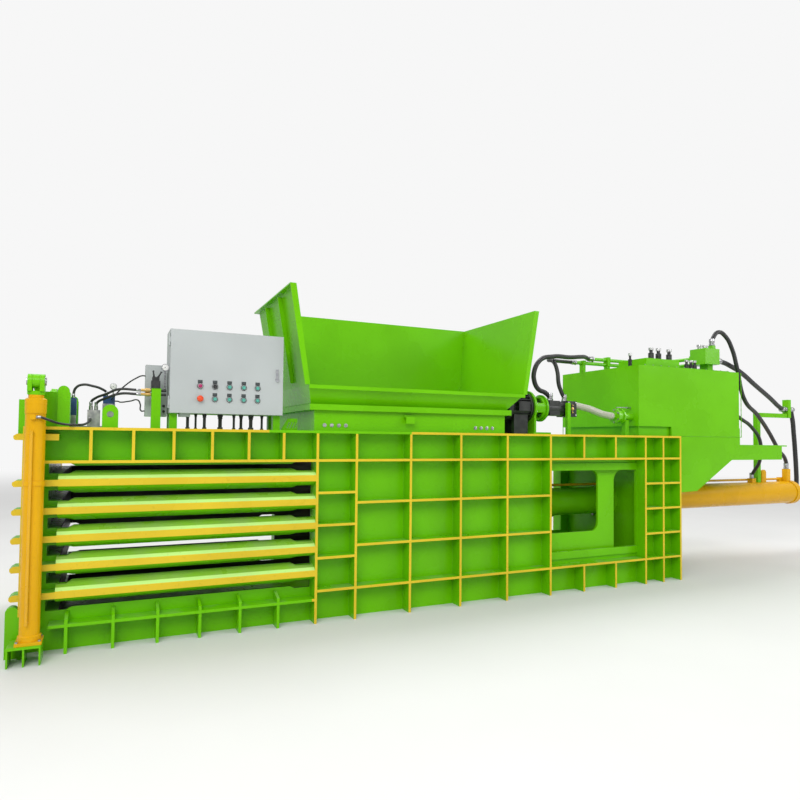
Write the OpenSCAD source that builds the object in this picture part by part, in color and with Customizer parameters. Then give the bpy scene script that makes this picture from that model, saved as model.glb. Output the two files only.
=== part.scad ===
/* [Body] */
// Height of the body from the floor to the deck
body_h = 1500; // [1440:10:1560]
// Distance over the outer faces of the two side sheets
sheet_span = 1200; // [1160:10:1260]
// Thickness of the side sheets
sheet_t = 20; // [14:1:24]
// Depth of the ribs outside the side sheets
rib_d = 125; // [105:5:140]
// Thickness of the ribs and flanges
rib_t = 20; // [12:1:26]
// Rear end of the body, measured from the gate
body_x1 = 5887; // [5850:1:6000]
// Height of the chamber floor
floor_z = 160; // [140:5:180]
// Clear height of the bale chamber
chamber_h = 1100; // [1080:5:1120]
// Thickness of the floor, roof and deck plates
plate_t = 20; // [14:1:24]
// Height of the flange level with the chamber roof
roof_flange_z = 1266; // [1240:2:1290]
// Height of the lowest flange behind the bale chamber
low_flange_z = 250; // [220:5:280]
// Height of the flange of the beam under the slats
beam_flange_z = 184; // [170:2:200]

/* [Feed opening] */
// Front edge of the feed opening
feed_x0 = 1914; // [1880:2:1950]
// Rear edge of the feed opening
feed_x1 = 3700; // [3600:10:3720]
// Deck left along each side of the feed opening
feed_edge = 20; // [15:1:60]

/* [Slats] */
// Number of slat beams on each side
slat_n = 5; // [3:1:5]
// Centre height of the lowest slat
slat_z0 = 389; // [380:1:395]
// Distance between slats
slat_pitch = 184.5; // [182:0.5:186]
// Height of a slat at the side sheet
slat_h = 150; // [140:1:152]
// Height of the flat front band of a slat
band_h = 43; // [30:1:60]
// Thickness of the pressed slat sheet
slat_t = 8; // [5:1:10]
// Height of a wire slot
slot_h = 34; // [24:1:36]
// Height of the flared ends of a wire slot
flare_h = 70; // [50:2:76]

/* [Gate] */
// Thickness of the gate
gate_t = 186; // [170:2:196]
// Depth of the wire grooves in the gate and the ram face
groove_d = 83; // [60:1:90]
// Gap between the gate and the side sheets
gate_gap = 5; // [3:0.5:8]
// Thickness of the front guide bars
guide_t = 37; // [30:1:45]
// Height of the top of the gate over the deck
gate_rise = 240; // [220:5:280]

/* [Lift cylinders] */
// Outer diameter of a lift barrel
lift_d = 118; // [110:1:124]
// Wall of a lift barrel
lift_wall = 9; // [7:0.5:11]
// Distance of a lift cylinder's axis from the side sheet
lift_out = 210; // [205:1:230]
// Diameter of a lift rod
lift_rod_d = 70; // [50:1:76]
// Height of the top of a lift barrel over the deck
lift_rise = 140; // [120:5:150]
// Diameter of the clevis pins
clevis_pin_d = 40; // [30:1:46]
// Thickness of the eye on a gate arm
eye_t = 42; // [34:1:48]

/* [Ram] */
// Face of the ram when it is drawn back
ram_x0 = 3950; // [3930:5:3980]
// Gap between the ram and the side sheets
ram_gap = 10; // [6:1:20]
// Height of the top of the ram over the floor
ram_h = 1085; // [1075:1:1088]
// Thickness of the ram's cover plate
cover_t = 20; // [16:1:24]
// Length of the ram's cover plate
cover_l = 2490; // [2400:10:2520]
// Rear edge of the ram's side post
ram_post_x = 5120; // [5090:5:5140]
// Thickness of the ram's side plates
ram_side_t = 25; // [16:1:30]

/* [Main cylinder] */
// Height of the main cylinder's axis
main_z = 780; // [760:5:800]
// Outer diameter of the main barrel
main_d = 290; // [270:2:310]
// Wall of the main barrel
main_wall = 25; // [18:1:30]
// Diameter of the main rod
main_rod_d = 170; // [140:5:190]
// Front end of the main barrel
main_x0 = 4650; // [4600:10:4700]
// Rear end of the main barrel
main_x1 = 8790; // [8700:10:8850]
// Front face of the plate that carries the barrel
mount_x = 5480; // [5460:5:5500]
// Thickness of that plate
mount_t = 40; // [30:1:50]

/* [Hopper] */
// Height of the hopper base over the deck
hopper_base_h = 200; // [180:5:220]
// Thickness of the hopper plates
hopper_t = 10; // [6:1:14]
// Height of the front lip over the deck
lip_h = 360; // [340:5:400]
// Height of the hopper mouth over the deck
mouth_h = 1145; // [1000:5:1200]
// Front edge of the hopper mouth
mouth_x0 = 1712; // [1680:2:1760]
// Rear edge of the hopper mouth
mouth_x1 = 4003; // [3960:1:4040]

/* [Tank] */
// Left side of the oil tank
tank_x0 = 5416; // [5400:2:5430]
// Length of the oil tank
tank_l = 1542; // [1500:2:1600]
// Height of the tank bottom over the deck
tank_lift = 100; // [90:5:120]
// Height of the tank
tank_h = 640; // [600:5:680]
// Wall of the tank
tank_wall = 8; // [5:1:12]

/* [Pump set] */
// Distance of the pump set from the middle
pump_y = -300; // [-320:5:-280]
// Height of the pump axis over the deck
pump_h = 265; // [250:1:280]
// Left end of the motor
motor_x0 = 3910; // [3908:1:3930]
// Length of the motor
motor_l = 290; // [260:5:290]
// Diameter of the motor shaft
shaft_d = 42; // [30:1:48]

/* [Control cabinet] */
// Left side of the cabinet
cab_x0 = 820; // [818:1:830]
// Width of the cabinet
cab_w = 836; // [800:2:850]
// Height of the cabinet
cab_h = 618; // [600:2:640]
// Depth of the cabinet with its door
cab_d = 300; // [220:5:320]
// Height of the cabinet over the deck
cab_lift = 114; // [100:2:120]
// Thickness of the cabinet sheet
cab_t = 3; // [2:0.5:5]
// Depth of the folded edge of the door
door_d = 18; // [14:1:24]
// Diameter of a push button
button_d = 28; // [20:1:32]
// Travel of a push button
button_travel = 5; // [3:0.5:6]

/* [Lifting lugs] */
// Diameter of the hole in a lifting lug
lug_hole_d = 44; // [36:1:50]
// Thickness of a lifting lug
lug_t = 34; // [26:1:40]

/* [Hidden] */
$fn = 48;

green = [0.42, 0.74, 0.05];
yellow = [0.93, 0.72, 0.05];
cream = [0.80, 0.82, 0.80];
dark = [0.08, 0.09, 0.08];
steel = [0.70, 0.71, 0.72];
teal = [0.10, 0.45, 0.38];

// Clearances
slide_gap = 0.5;
pin_gap = 0.05;
seat_gap = 0.3;
cut = 1;

// Body planes
out_y = sheet_span / 2;
in_y = out_y - sheet_t;
tip_y = out_y + rib_d;
roof_z = floor_z + chamber_h;
deck_z = body_h - plate_t;
feed_y = in_y - feed_edge;

// Gate planes
gate_x0 = -36;
gate_x1 = gate_x0 + gate_t;
gate_y = in_y - gate_gap;
guide_x1 = gate_x0 - 4;
guide_x0 = guide_x1 - guide_t;
gate_z1 = body_h + gate_rise;
rear_guide_x = gate_x1 + 5;
lap_y = gate_y - 50;

// Plate under the gate that the machine stands on
sole_t = 20;

// Wire slots
slot_z0 = slat_z0 - slat_pitch / 2;
slot_x0 = 67;
slot_x1 = feed_x0 - 15;
flare_l = 123;
taper_l = 36;

// Slats
slat_x0 = 130;
slat_x1 = feed_x0 - rib_t / 2;

// Ribs
rib_b = feed_x0 + 328;
rib_pitch = 485.5;
rib_f = rib_b + 4 * rib_pitch;
rib_i = body_x1 - rib_t / 2;
rib_h = rib_i - 246;
rib_g = rib_h - 247;
bay_l = rib_g - rib_f;
top_rib_x0 = 320;
top_rib_pitch = 265;
low_rib_x0 = 200;
low_rib_pitch = 284;

// Side window
win_x0 = rib_f + 46;
win_x1 = rib_g - 15;
win_z0 = 370;
win_z1 = 1150;
frame_w = 70;

// Ram
ram_y = in_y - ram_gap;
ram_z0 = floor_z + slide_gap;
ram_z1 = floor_z + ram_h;
ram_face_t = 110;
ram_side_y = ram_y - 20;
blade_w = 80;
fixed_blade_w = 75;
fixed_blade_t = 30;
fixed_blade_z = ram_z1 + 2;
bolster_h = 40;
tooth_n = 10;
tooth_d = 20;
boss_l = 100;
rod_x0 = ram_x0 + ram_face_t + boss_l;

// Main cylinder
main_r = main_d / 2;
bore_r = main_r - main_wall;
head_l = 90;
cap_l = 90;
gland_l = 60;
spigot_l = 100;
piston_l = 120;
piston_x = main_x1 - cap_l - 170;
flange_r = 230;
flange_l = 40;
flange_x = mount_x - flange_l;
flange_bolt_r = 195;
flange_bolt_n = 12;
bolt_head_r = 17;
bolt_head_h = 14;

// Lift cylinders
lift_y = out_y + lift_out;
lift_z1 = body_h + lift_rise;
lift_r = lift_d / 2;
foot_z = 125;
foot_t = 15;
foot_x0 = -116;
foot_x1 = 72;
foot_y1 = lift_y + 90;
lift_bore_r = lift_r - lift_wall;
lift_rod_r = lift_rod_d / 2;
lift_gland_h = 60;
rod_top_z = lift_z1 + lift_gland_h;
fork_base_h = 25;
fork_w = 90;
fork_gap = eye_t + 2;
cheek_t = 26;
pin_z = rod_top_z + fork_base_h + 65;

// Hopper
ledge_z = body_h + hopper_base_h;
ledge_t = 12;
base_x0 = feed_x0 - 10;
base_x1 = feed_x1 + 14;
base_y0 = -out_y - 50;
base_y1 = out_y;
ledge_x0 = base_x0 - 48;
ledge_x1 = base_x1 + 46;
ledge_y0 = base_y0 - 40;
ledge_y1 = base_y1 + 30;
funnel_z0 = ledge_z + ledge_t;
lip_z = body_h + lip_h;
mouth_z = body_h + mouth_h;
foot_y0 = -out_y - 25;
foot_back = out_y - 160;
lip_y = -tip_y;
mouth_back = out_y - 40;
lip_x0 = 1834;
lip_x1 = 3879;
funnel_x0 = ledge_x0 + 24;
funnel_x1 = ledge_x1 - 14;

// Tank
tank_x1 = tank_x0 + tank_l;
tank_z0 = body_h + tank_lift;
tank_z1 = tank_z0 + tank_h;
tank_y = out_y;
skirt_y = in_y - 10;
lid_t = 15;
lid_box_h = 80;
lid_z = tank_z1 + lid_t;
arm_x1 = 7708;
arm_z0 = body_h - 260;
arm_z1 = body_h - 105;

// Pump set
pump_z = body_h + pump_h;
motor_x1 = motor_x0 + motor_l;
motor_r = 128;
fin_r = 148;
fin_n = 24;
bell_l = 190;
bell_r = 170;
bell_x1 = motor_x1 + bell_l;
pump_x1 = bell_x1 + 420;
shaft_r = shaft_d / 2;
valve_x = 5225;
valve_y = -500;
valve_z = body_h + 200;
valve_r = 62;

suction_route = [[pump_x1 + seat_gap, pump_y, pump_z + 40], [4860, -300, pump_z + 40],
    [4955, -370, 1775], [5050, -460, 1720], [5125, -500, valve_z], [valve_x - 44, valve_y, valve_z]];

// Cabinet
cab_x1 = cab_x0 + cab_w;
cab_z0 = body_h + cab_lift;
cab_z1 = cab_z0 + cab_h;
door_y = -out_y - 25;
shell_y0 = door_y + door_d + seat_gap;
shell_y1 = door_y + cab_d;
button_x = [1032, 1139, 1245, 1351, 1456];
top_row_z = body_h + 318;
low_row_z = body_h + 224;
button_r = button_d / 2;
collar_r = button_r + 5;
collar_h = 6;
cap_h = 12;
stop_r = 23;
lock_x = 1605;
lock_z = body_h + 390;
hinge_x = cab_x0 - 6;
hinge_y = door_y + 12;
hinge_r = 5.5;
hinge_pin_r = 2.5;
hinge_z = [cab_z0 + 80, cab_z1 - 80];

// Lugs and small gear
lug_x = 434;
lug_y = -out_y - 25;
lug_w = 103;
lug_eye_h = 93;
lug_h = 160;
post_x0 = 700;
post_x1 = 764;
post_y = -out_y + 25;
post_z = body_h + 290;
term_x0 = 664;
term_x1 = 815;
term_y0 = -480;
term_y1 = -380;
term_z0 = body_h + 90;
term_z1 = body_h + 470;
mast_x = 8110;
mast_w = 60;
mast_z = main_z + 1050;
lever_z = body_h + 372;
lever_left_x = 716;
lever_right_x = 744;
gauge_x = 791;
port_z = body_h + 275;
port_top_z = port_z + 12;
drum_r = 9;
upper_pipe_z = tank_z1 + 170;
lower_pipe_z = tank_z1 + 115;

// Hose routes: points along the middle of each hose, each stretch measured from what it hangs on
function raised(p, h) = [for (q = p) q + [0, 0, h]];
lift_port_y = lift_y + lift_r + 12;
lift_port_z = lift_z1 - 83;
lift_hose = concat([[9.5, -lift_port_y, lift_port_z], [30, -lift_port_y, lift_port_z]],
    raised([[72, -862, 42], [135, -800, 20], [225, -720, 14], [290, -580, 30], [305, -500, 60],
        [305, -470.4, 60]], body_h));
rear_lift_hose = concat([[9.5, lift_port_y, lift_port_z], [30, lift_port_y, lift_port_z]],
    raised([[72, 862, 42], [135, 800, 20], [225, 720, 14], [290, 560, 14], [310, 200, 14], [310, -200, 20],
        [305, -345, 60], [305, -379.6, 60]], body_h));
valve_hose_a = concat([[629.6, post_y, port_z], [600, post_y, port_z]],
    raised([[480, -545, 275], [405, -505, 242], [335, -458, 212], [306, -425, 182],
        [306, -425, 155.4]], body_h));
valve_hose_b = concat([[629.6, post_y, port_z - 30], [600, post_y, port_z - 30]],
    raised([[495, -545, 245], [395, -495, 208], [350, -440, 185], [340, -425, 170],
        [340, -425, 155.4]], body_h));
loop_hose = raised([[188, -325, 214.4], [188, -325, 240], [205, -345, 290], [250, -365, 312],
    [310, -370, 305], [375, -360, 285], [405, -350, 260], [405, -350, 235.4]], body_h);
coil_cable = raised([[463.4, -350, 200], [480, -350, 200], [500, -385, 192], [565, -430, 200],
    [615, -450, 208], [632, -450, 180], [640, -440, 130], [663.6, -440, 130]], body_h);
box_cable = raised([[440, -378.4, 210], [440, -392, 210], [465, -405, 245], [545, -415, 330],
    [600, -430, 370], [640, -440, 390], [663.6, -440, 390]], body_h);
pump_hose_a = concat(raised([[4505, -300, 80.4], [4505, -300, 110], [4450, -300, 160], [4360, -300, 195],
    [4310, -300, 275], [4310, -300, 375]], pump_z), raised([[4400, -280, 20], [4595, -220, 75],
    [4970, -60, 110], [5215, 60, 145], [5440, 230, 175], [5560, 300, 170], [5619.6, 300, 170]], tank_z1));
pump_hose_b = concat(raised([[4690, -300, 80.4], [4690, -300, 110], [4655, -300, 175], [4620, -300, 255],
    [4610, -290, 385]], pump_z), raised([[4625, -220, 15], [4680, -60, 60], [4900, 100, 85],
    [5200, 270, 110], [5310, 300, 115], [5359.6, 300, 115]], tank_z1));
tank_hose_a = concat(raised([[6775, -395, 322.4], [6775, -395, 350], [6800, -395, 420], [6895, -395, 496],
    [7000, -405, 445], [7085, -425, 295], [7135, -440, 110], [7345, -375, -260], [7805, -230, -460]], tank_z1),
    raised([[8170, -120, 800], [8450, -60, 570], [8680, -8, 410], [8695, 0, 340], [8695, 0, 310.4]], main_z));
tank_hose_b = concat(raised([[6820.4, -395, 150], [6850, -395, 150], [7005, -380, 138], [7140, -360, 110],
    [7345, -330, 55], [7760, -230, -80]], tank_z1), raised([[8220, -110, 190], [8580, -12, 75],
    [8650, 0, 60], [8689.6, 0, 60]], mast_z));
mast_hose = concat(raised([[8750.4, 0, 60], [8782, 0, 60], [8830, 0, -40]], mast_z),
    raised([[8864, 0, 780], [8892, 0, 520], [8912, 0, 280], [8915, 0, 110], [8900, 0, 28], [8866, 0, 0],
        [8830.4, 0, 0]], main_z));
return_hose = concat(raised([[7000.4, -400, 200], [7035, -400, 200], [7120, -397, 188], [7265, -385, 130],
    [7600, -300, 20]], tank_z0), raised([[7850, -230, 660], [7960, -140, 420], [7998, -30, 280],
    [8000, 0, 230], [8000, 0, 195.4]], main_z));

// Straight or bent tube routes: rigid pipes
pipe_r = 14;
pipe_y = 50;
pipe_z = main_z + main_r + 30;
lift_pipe_y = -lift_y - lift_r - 15;
lift_pipe = [[-13, lift_pipe_y, lift_z1 - 170], [-13, lift_pipe_y, foot_z + 125]];
main_pipe = [[main_x0 + 90.4, pipe_y, pipe_z], [main_x1 - 190.4, pipe_y, pipe_z]];
upper_pipe = raised([[5620, 300, 0], [6420, 300, 0], [6480, 280, 0], [6560, 150, 0], [6600, -200, 0],
    [6600, -261.6, 0]], upper_pipe_z);
lower_pipe = raised([[5360, 300, 0], [6520, 300, 0], [6600, 280, 0], [6670, 150, 0], [6700, -200, 0],
    [6700, -261.6, 0]], lower_pipe_z);

// Plate in the X-Z plane between two Y values
module xz_plate(y0, y1) {
    translate([0, y1, 0])
        rotate([90, 0, 0])
            linear_extrude(y1 - y0) children();
}

// Bar along X with a Y-Z section
module yz_bar(x0, x1) {
    translate([x0, 0, 0])
        rotate([90, 0, 90])
            linear_extrude(x1 - x0) children();
}

// Box between two corners
module box(a, b) {
    translate(a) cube(b - a);
}

// Rectangle between two corners
module rect(a, b) {
    translate(a) square(b - a);
}

// Cylinder along X
module rod_x(x0, x1, y, z, r) {
    translate([x0, y, z]) rotate([0, 90, 0]) cylinder(h = x1 - x0, r = r);
}

// Cylinder along Y
module rod_y(x, y0, y1, z, r) {
    translate([x, y1, z]) rotate([90, 0, 0]) cylinder(h = y1 - y0, r = r);
}

// The same thing on the front and the rear side
module both_sides() {
    children();
    mirror([0, 1, 0]) children();
}

// A smooth route through the points of a hose
function unit(v) = v / norm(v);
function spline(a, b, c, d, t) =
    0.5 * (2 * b + (c - a) * t + (2 * a - 5 * b + 4 * c - d) * t * t + (3 * b - 3 * c + d - a) * t * t * t);
function steps(a, b, r) = max(1, round(norm(b - a) / (6 * r)));
function route(p, r) = concat([for (i = [0:len(p) - 2])
    let (a = p[max(i - 1, 0)], b = p[i], c = p[i + 1], d = p[min(i + 2, len(p) - 1)], n = steps(b, c, r))
    for (k = [0:n - 1]) spline(a, b, c, d, k / n)], [p[len(p) - 1]]);

// A tube of radius r swept along a list of points, n sides
module tube(p, r, n = 8) {
    last = len(p) - 1;
    t = [for (i = [0:last]) unit(p[min(i + 1, last)] - p[max(i - 1, 0)])];
    start = unit(cross(t[0], abs(t[0][1]) < 0.9 ? [0, 1, 0] : [1, 0, 0]));
    side = [for (i = 0, s = start; i <= last; i = i + 1,
        s = i > last ? s : unit(s - (s * t[i]) * t[i])) s];
    ring = [for (i = [0:last]) for (k = [0:n - 1])
        p[i] + r * (cos(360 * k / n) * side[i] + sin(360 * k / n) * cross(t[i], side[i]))];
    walls = [for (i = [0:last - 1]) for (k = [0:n - 1])
        [i * n + k, (i + 1) * n + k, (i + 1) * n + (k + 1) % n, i * n + (k + 1) % n]];
    ends = [[for (k = [0:n - 1]) k], [for (k = [n - 1:-1:0]) last * n + k]];
    polyhedron(points = ring, faces = concat(walls, ends), convexity = 6);
}

module hose(p, r) {
    tube(route(p, r), r, 8);
}

// Outline of one wire slot with its flared ends, centred on z = 0
module slot_outline() {
    h = slot_h / 2;
    f = flare_h / 2;
    a = slot_x0 + flare_l;
    b = slot_x1 - flare_l - taper_l;
    polygon([[slot_x0, -f], [a, -f], [a + taper_l, -h], [b, -h], [b + taper_l, -f], [slot_x1, -f],
        [slot_x1, f], [b + taper_l, f], [b, h], [a + taper_l, h], [a, f], [slot_x0, f]]);
}

module slot_outlines() {
    for (k = [0:slat_n]) translate([0, slot_z0 + k * slat_pitch]) slot_outline();
}

module side_plates() {
    color(green) both_sides()
        xz_plate(-out_y, -in_y) difference() {
            rect([guide_x1, 0], [body_x1, body_h]);
            slot_outlines();
            rect([win_x0, win_z0], [win_x1, win_z1]);
        }
}

// Vertical rib and horizontal flange outlines
module rib(x, z0, z1) {
    rect([x - rib_t / 2, z0], [x + rib_t / 2, z1]);
}

module flange(x0, x1, z) {
    rect([x0, z - rib_t / 2], [x1, z + rib_t / 2]);
}

// Rib of the beam under the slats, cut back at the top below the lowest wire slot
module low_rib(x) {
    z = beam_flange_z;
    yz_bar(x - rib_t / 2, x + rib_t / 2)
        polygon([[-tip_y, 0], [-out_y, 0], [-out_y, z + 72], [-out_y - 30, z + 72], [-tip_y, z + 42]]);
}

module grid_outline() {
    flange(guide_x1, body_x1, body_h - rib_t / 2);
    flange(guide_x1, body_x1, roof_flange_z);
    flange(rear_guide_x - 60, feed_x0, beam_flange_z);
    for (x = [feed_x0, rib_g, rib_h, rib_i]) rib(x, 0, body_h);
    for (k = [0:4]) rib(rib_b + k * rib_pitch, 0, body_h);
    for (k = [0:5]) rib(top_rib_x0 + k * top_rib_pitch, roof_flange_z, body_h - rib_t / 2);
    for (k = [1, 2]) rib(rib_f + k * bay_l / 3, roof_flange_z, body_h - rib_t / 2);
    for (k = [1, 2]) rib(rib_f + k * bay_l / 3, 0, low_flange_z);
    step_a = (roof_flange_z - low_flange_z) / 4;
    for (k = [0:3]) flange(feed_x0, rib_b, low_flange_z + k * step_a);
    for (k = [0:3]) flange(rib_g, body_x1, low_flange_z + k * step_a);
    step_b = (roof_flange_z - low_flange_z) / 3;
    for (k = [0:2]) flange(rib_b, rib_f, low_flange_z + k * step_b);
    flange(rib_f, rib_g, low_flange_z);
}

module rib_grids() {
    color(green) both_sides() {
        xz_plate(-tip_y, -out_y) grid_outline();
        for (k = [0:5]) low_rib(low_rib_x0 + k * low_rib_pitch);
        xz_plate(-out_y - 15, -out_y) difference() {
            rect([rib_f, win_z0 - frame_w], [win_x1 + 15, win_z1 + frame_w]);
            rect([win_x0, win_z0], [win_x1, win_z1]);
        }
    }
}

// Section of a slat: outside of the sheet, or inside when inset by its thickness
function slat_section(t) = [[0, t - slat_h / 2], [0, slat_h / 2 - t], [rib_d - 25, band_h / 2 + 24 - t],
    [rib_d - t, band_h / 2 - t / 2], [rib_d - t, t / 2 - band_h / 2], [rib_d - 25, t - band_h / 2 - 18]];

module slat() {
    yz_bar(slat_x0, slat_x1) difference() {
        polygon(slat_section(0));
        polygon(slat_section(slat_t));
    }
    for (x = [slat_x0, slat_x1 - slat_t]) yz_bar(x, x + slat_t) polygon(slat_section(0));
}

module wire_slats() {
    color(green) both_sides() mirror([0, 1, 0]) difference() {
        for (k = [0:slat_n - 1]) translate([0, out_y, slat_z0 + k * slat_pitch]) slat();
        xz_plate(out_y - cut, tip_y + cut) slot_outlines();
    }
}

module floor_frame() {
    color(green) {
        box([guide_x1, -in_y, floor_z - plate_t], [body_x1, in_y, floor_z]);
        box([guide_x1, -in_y, 0], [rear_guide_x, in_y, sole_t]);
        for (x = [rear_guide_x:480:body_x1 - 60]) box([x, -in_y, 0], [x + rib_t, in_y, floor_z - plate_t]);
        for (y = [-300, 300])
            box([guide_x1, y - rib_t / 2, 0], [body_x1, y + rib_t / 2, floor_z - plate_t]);
    }
}

module deck_plate() {
    color(green) {
        difference() {
            box([rear_guide_x, -in_y, deck_z], [body_x1, in_y, body_h]);
            box([feed_x0, -feed_y, deck_z - cut], [feed_x1, feed_y, body_h + cut]);
        }
        box([feed_x0 - plate_t, -in_y, roof_z + plate_t], [feed_x0, in_y, deck_z]);
        box([feed_x0, -in_y, fixed_blade_z + fixed_blade_t],
            [feed_x0 + 45, in_y, fixed_blade_z + fixed_blade_t + bolster_h]);
        box([feed_x1, -in_y, ram_z1 + slide_gap + 4], [feed_x1 + plate_t, in_y, deck_z]);
        box([body_x1 - plate_t, -in_y, ram_z1 + slide_gap + 4], [body_x1, in_y, deck_z]);
        for (x = [rib_f, rib_g])
            box([x, -in_y, ram_z1 + 45], [x + rib_t, in_y, deck_z]);
    }
}

module chamber_roof() {
    color(green) {
        box([rear_guide_x, -in_y, roof_z], [feed_x0, in_y, roof_z + plate_t]);
        for (k = [0:5])
            box([top_rib_x0 + k * top_rib_pitch, -in_y, roof_z + plate_t],
                [top_rib_x0 + k * top_rib_pitch + rib_t, in_y, deck_z]);
    }
}

// Toothed edge: points from y0 to y1 with n teeth of depth d, first coordinate along the edge
function teeth(y0, y1, n, d) = [for (i = [0:2 * n]) [y0 + (y1 - y0) * i / (2 * n), i % 2 == 0 ? d : 0]];

module fixed_blade() {
    tips = feed_x0 + fixed_blade_w;
    w = in_y - 2;
    edge = [for (p = teeth(-w, w, tooth_n, 30)) [tips - p[1], p[0]]];
    color(steel) translate([0, 0, fixed_blade_z]) linear_extrude(fixed_blade_t)
        polygon(concat([[feed_x0, w], [feed_x0, -w]], edge));
}

module ram_guides() {
    color(steel) both_sides()
        box([feed_x1 + plate_t, -in_y, ram_z1 + slide_gap], [body_x1 - plate_t, -in_y + 40, ram_z1 + 40]);
}

module gate_frame() {
    color(green) {
        both_sides() {
            box([guide_x0, -tip_y, 0], [guide_x1, -lap_y, body_h]);
            for (k = [0:slat_n - 1]) guide_bar(slat_z0 + k * slat_pitch);
            guide_bar(body_h - 70);
            box([guide_x0 - guide_t, -out_y - 40, body_h - 84], [guide_x1, -lap_y, body_h + 178]);
            xz_plate(-out_y - 40, -out_y) {
                rect([110, body_h], [180, body_h + 245]);
                translate([145, body_h + 245]) circle(r = 35);
            }
            box([rear_guide_x - 1, -out_y - 40, body_h], [rear_guide_x + 29, -in_y + 40, body_h + 235]);
            xz_plate(-out_y - 100, -out_y - 40) {
                rect([guide_x0 - 73, 0], [guide_x0, 295]);
                translate([guide_x0 - 36.5, 295]) circle(r = 36.5);
            }
        }
        box([guide_x0, -tip_y, roof_z + 30], [guide_x1, tip_y, body_h]);
        box([guide_x0, -tip_y, 0], [guide_x1, tip_y, floor_z]);
    }
}

// Stiffener bar round the guide column with a bevelled front end
module guide_bar(z) {
    translate([0, 0, z]) xz_plate(-tip_y, -out_y)
        polygon([[-130, -10], [-120, -21], [slat_x0, -21], [slat_x0, 21], [-110, 21], [-130, 8]]);
}

module cylinder_feet() {
    color(yellow) both_sides() {
        box([foot_x0, -foot_y1, foot_z - foot_t], [foot_x1, -tip_y, foot_z]);
        for (x = [foot_x0, (foot_x0 + foot_x1) / 2 - 5, foot_x1 - 10])
            yz_bar(x, x + 10) polygon([[-foot_y1 + 8, 0], [-tip_y, 0], [-tip_y, foot_z - foot_t],
                [-foot_y1, foot_z - foot_t], [-foot_y1, 40]]);
    }
}

// The two lift cylinders stand at the same distance on both sides
module at_lifts() {
    for (y = [-lift_y, lift_y]) translate([0, y, 0]) children();
}

module lift_barrels() {
    color(yellow) at_lifts() {
        rotate_extrude() polygon([[0, foot_z + 20], [lift_r + 8, foot_z + 20], [lift_r + 8, foot_z + 50],
            [lift_r, foot_z + 56], [lift_r, lift_z1 - 520], [lift_r + 5, lift_z1 - 520],
            [lift_r + 5, lift_z1 - 490], [lift_r, lift_z1 - 490], [lift_r, lift_z1 - 60],
            [lift_r + 3, lift_z1 - 60], [lift_r + 3, lift_z1], [lift_bore_r, lift_z1],
            [lift_bore_r, foot_z + 75], [0, foot_z + 75]]);
        box([-75, -75, foot_z], [75, 75, foot_z + 20]);
    }
    side = -lift_y - lift_r;
    color(yellow) both_sides() {
        rod_y(-8, side - 24, side + 4, lift_z1 - 83, 17);
        for (z = [lift_z1 - 185, foot_z + 140]) rod_y(-13, side - 6.1, side + 4, z, 12);
    }
}

module lift_glands() {
    color(yellow) at_lifts() translate([0, 0, lift_z1]) rotate_extrude()
        polygon([[lift_rod_r + pin_gap, -45], [lift_bore_r - pin_gap, -45], [lift_bore_r - pin_gap, 0],
            [lift_r + 4, 0], [lift_r + 4, 32], [lift_r - 8, 40], [lift_r - 14, 40],
            [lift_r - 14, lift_gland_h - slide_gap], [lift_rod_r + pin_gap, lift_gland_h - slide_gap]]);
}

module lifting_lugs() {
    color(green) for (s = [-1, 1])
        xz_plate(s * lug_y * -1 - lug_t / 2, s * lug_y * -1 + lug_t / 2) difference() {
            union() {
                rect([lug_x - lug_w / 2, body_h], [lug_x + lug_w / 2, body_h + lug_h - lug_w / 2]);
                translate([lug_x, body_h + lug_h - lug_w / 2]) circle(r = lug_w / 2);
            }
            translate([lug_x, body_h + lug_eye_h]) circle(r = lug_hole_d / 2);
        }
}

module mount_plate() {
    color(green) yz_bar(mount_x, mount_x + mount_t) difference() {
        rect([-in_y, floor_z], [in_y, main_z + 360]);
        translate([0, main_z]) circle(r = main_r + seat_gap);
        translate([pipe_y, pipe_z]) circle(r = pipe_r + 6);
    }
    color(green) for (y = [-420, 400])
        box([mount_x + mount_t, y, floor_z], [body_x1 - 10, y + rib_t, 500]);
}

module main_barrel() {
    color(yellow) {
        difference() {
            translate([0, 0, main_z]) rotate([0, 90, 0]) rotate_extrude() polygon([
                [bore_r, main_x0], [main_r + 18, main_x0], [main_r + 18, main_x0 + head_l],
                [main_r, main_x0 + head_l + 10], [main_r, flange_x], [flange_r, flange_x],
                [flange_r, mount_x], [main_r, mount_x], [main_r, main_x1 - cap_l],
                [main_r + 10, main_x1 - cap_l], [main_r + 10, main_x1 - 12], [main_r - 2, main_x1],
                [0, main_x1], [0, main_x1 - cap_l - 30], [bore_r, main_x1 - cap_l - 30]]);
            rod_x(flange_x - cut, mount_x + cut, pipe_y, pipe_z, pipe_r + 6);
        }
        for (x = [main_x0 + 30, main_x1 - 190])
            box([x, pipe_y - 22, main_z + main_r - 20], [x + 60, pipe_y + 22, pipe_z + 22]);
        box([main_x1 - 130, -35, main_z + main_r - 20], [main_x1 - 60, 35, main_z + main_r + 165]);
        xz_plate(-12, 12) {
            rect([8190, main_z + main_r - 20], [8270, main_z + main_r + 120]);
            translate([8230, main_z + main_r + 120]) circle(r = 40);
        }
        box([7965, -35, main_z + main_r - 20], [8035, 35, main_z + main_r + 50]);
        rod_x(main_x1 - 1, main_x1 + 40, 0, main_z, 45);
    }
}

module main_gland() {
    color(steel) translate([main_x0, 0, main_z]) rotate([0, 90, 0]) rotate_extrude() polygon([
        [main_rod_d / 2 + pin_gap, -gland_l], [main_r + 2, -gland_l], [main_r + 12, -gland_l + 10],
        [main_r + 12, 0], [bore_r - pin_gap, 0], [bore_r - pin_gap, spigot_l],
        [main_rod_d / 2 + pin_gap, spigot_l]]);
}

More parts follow.
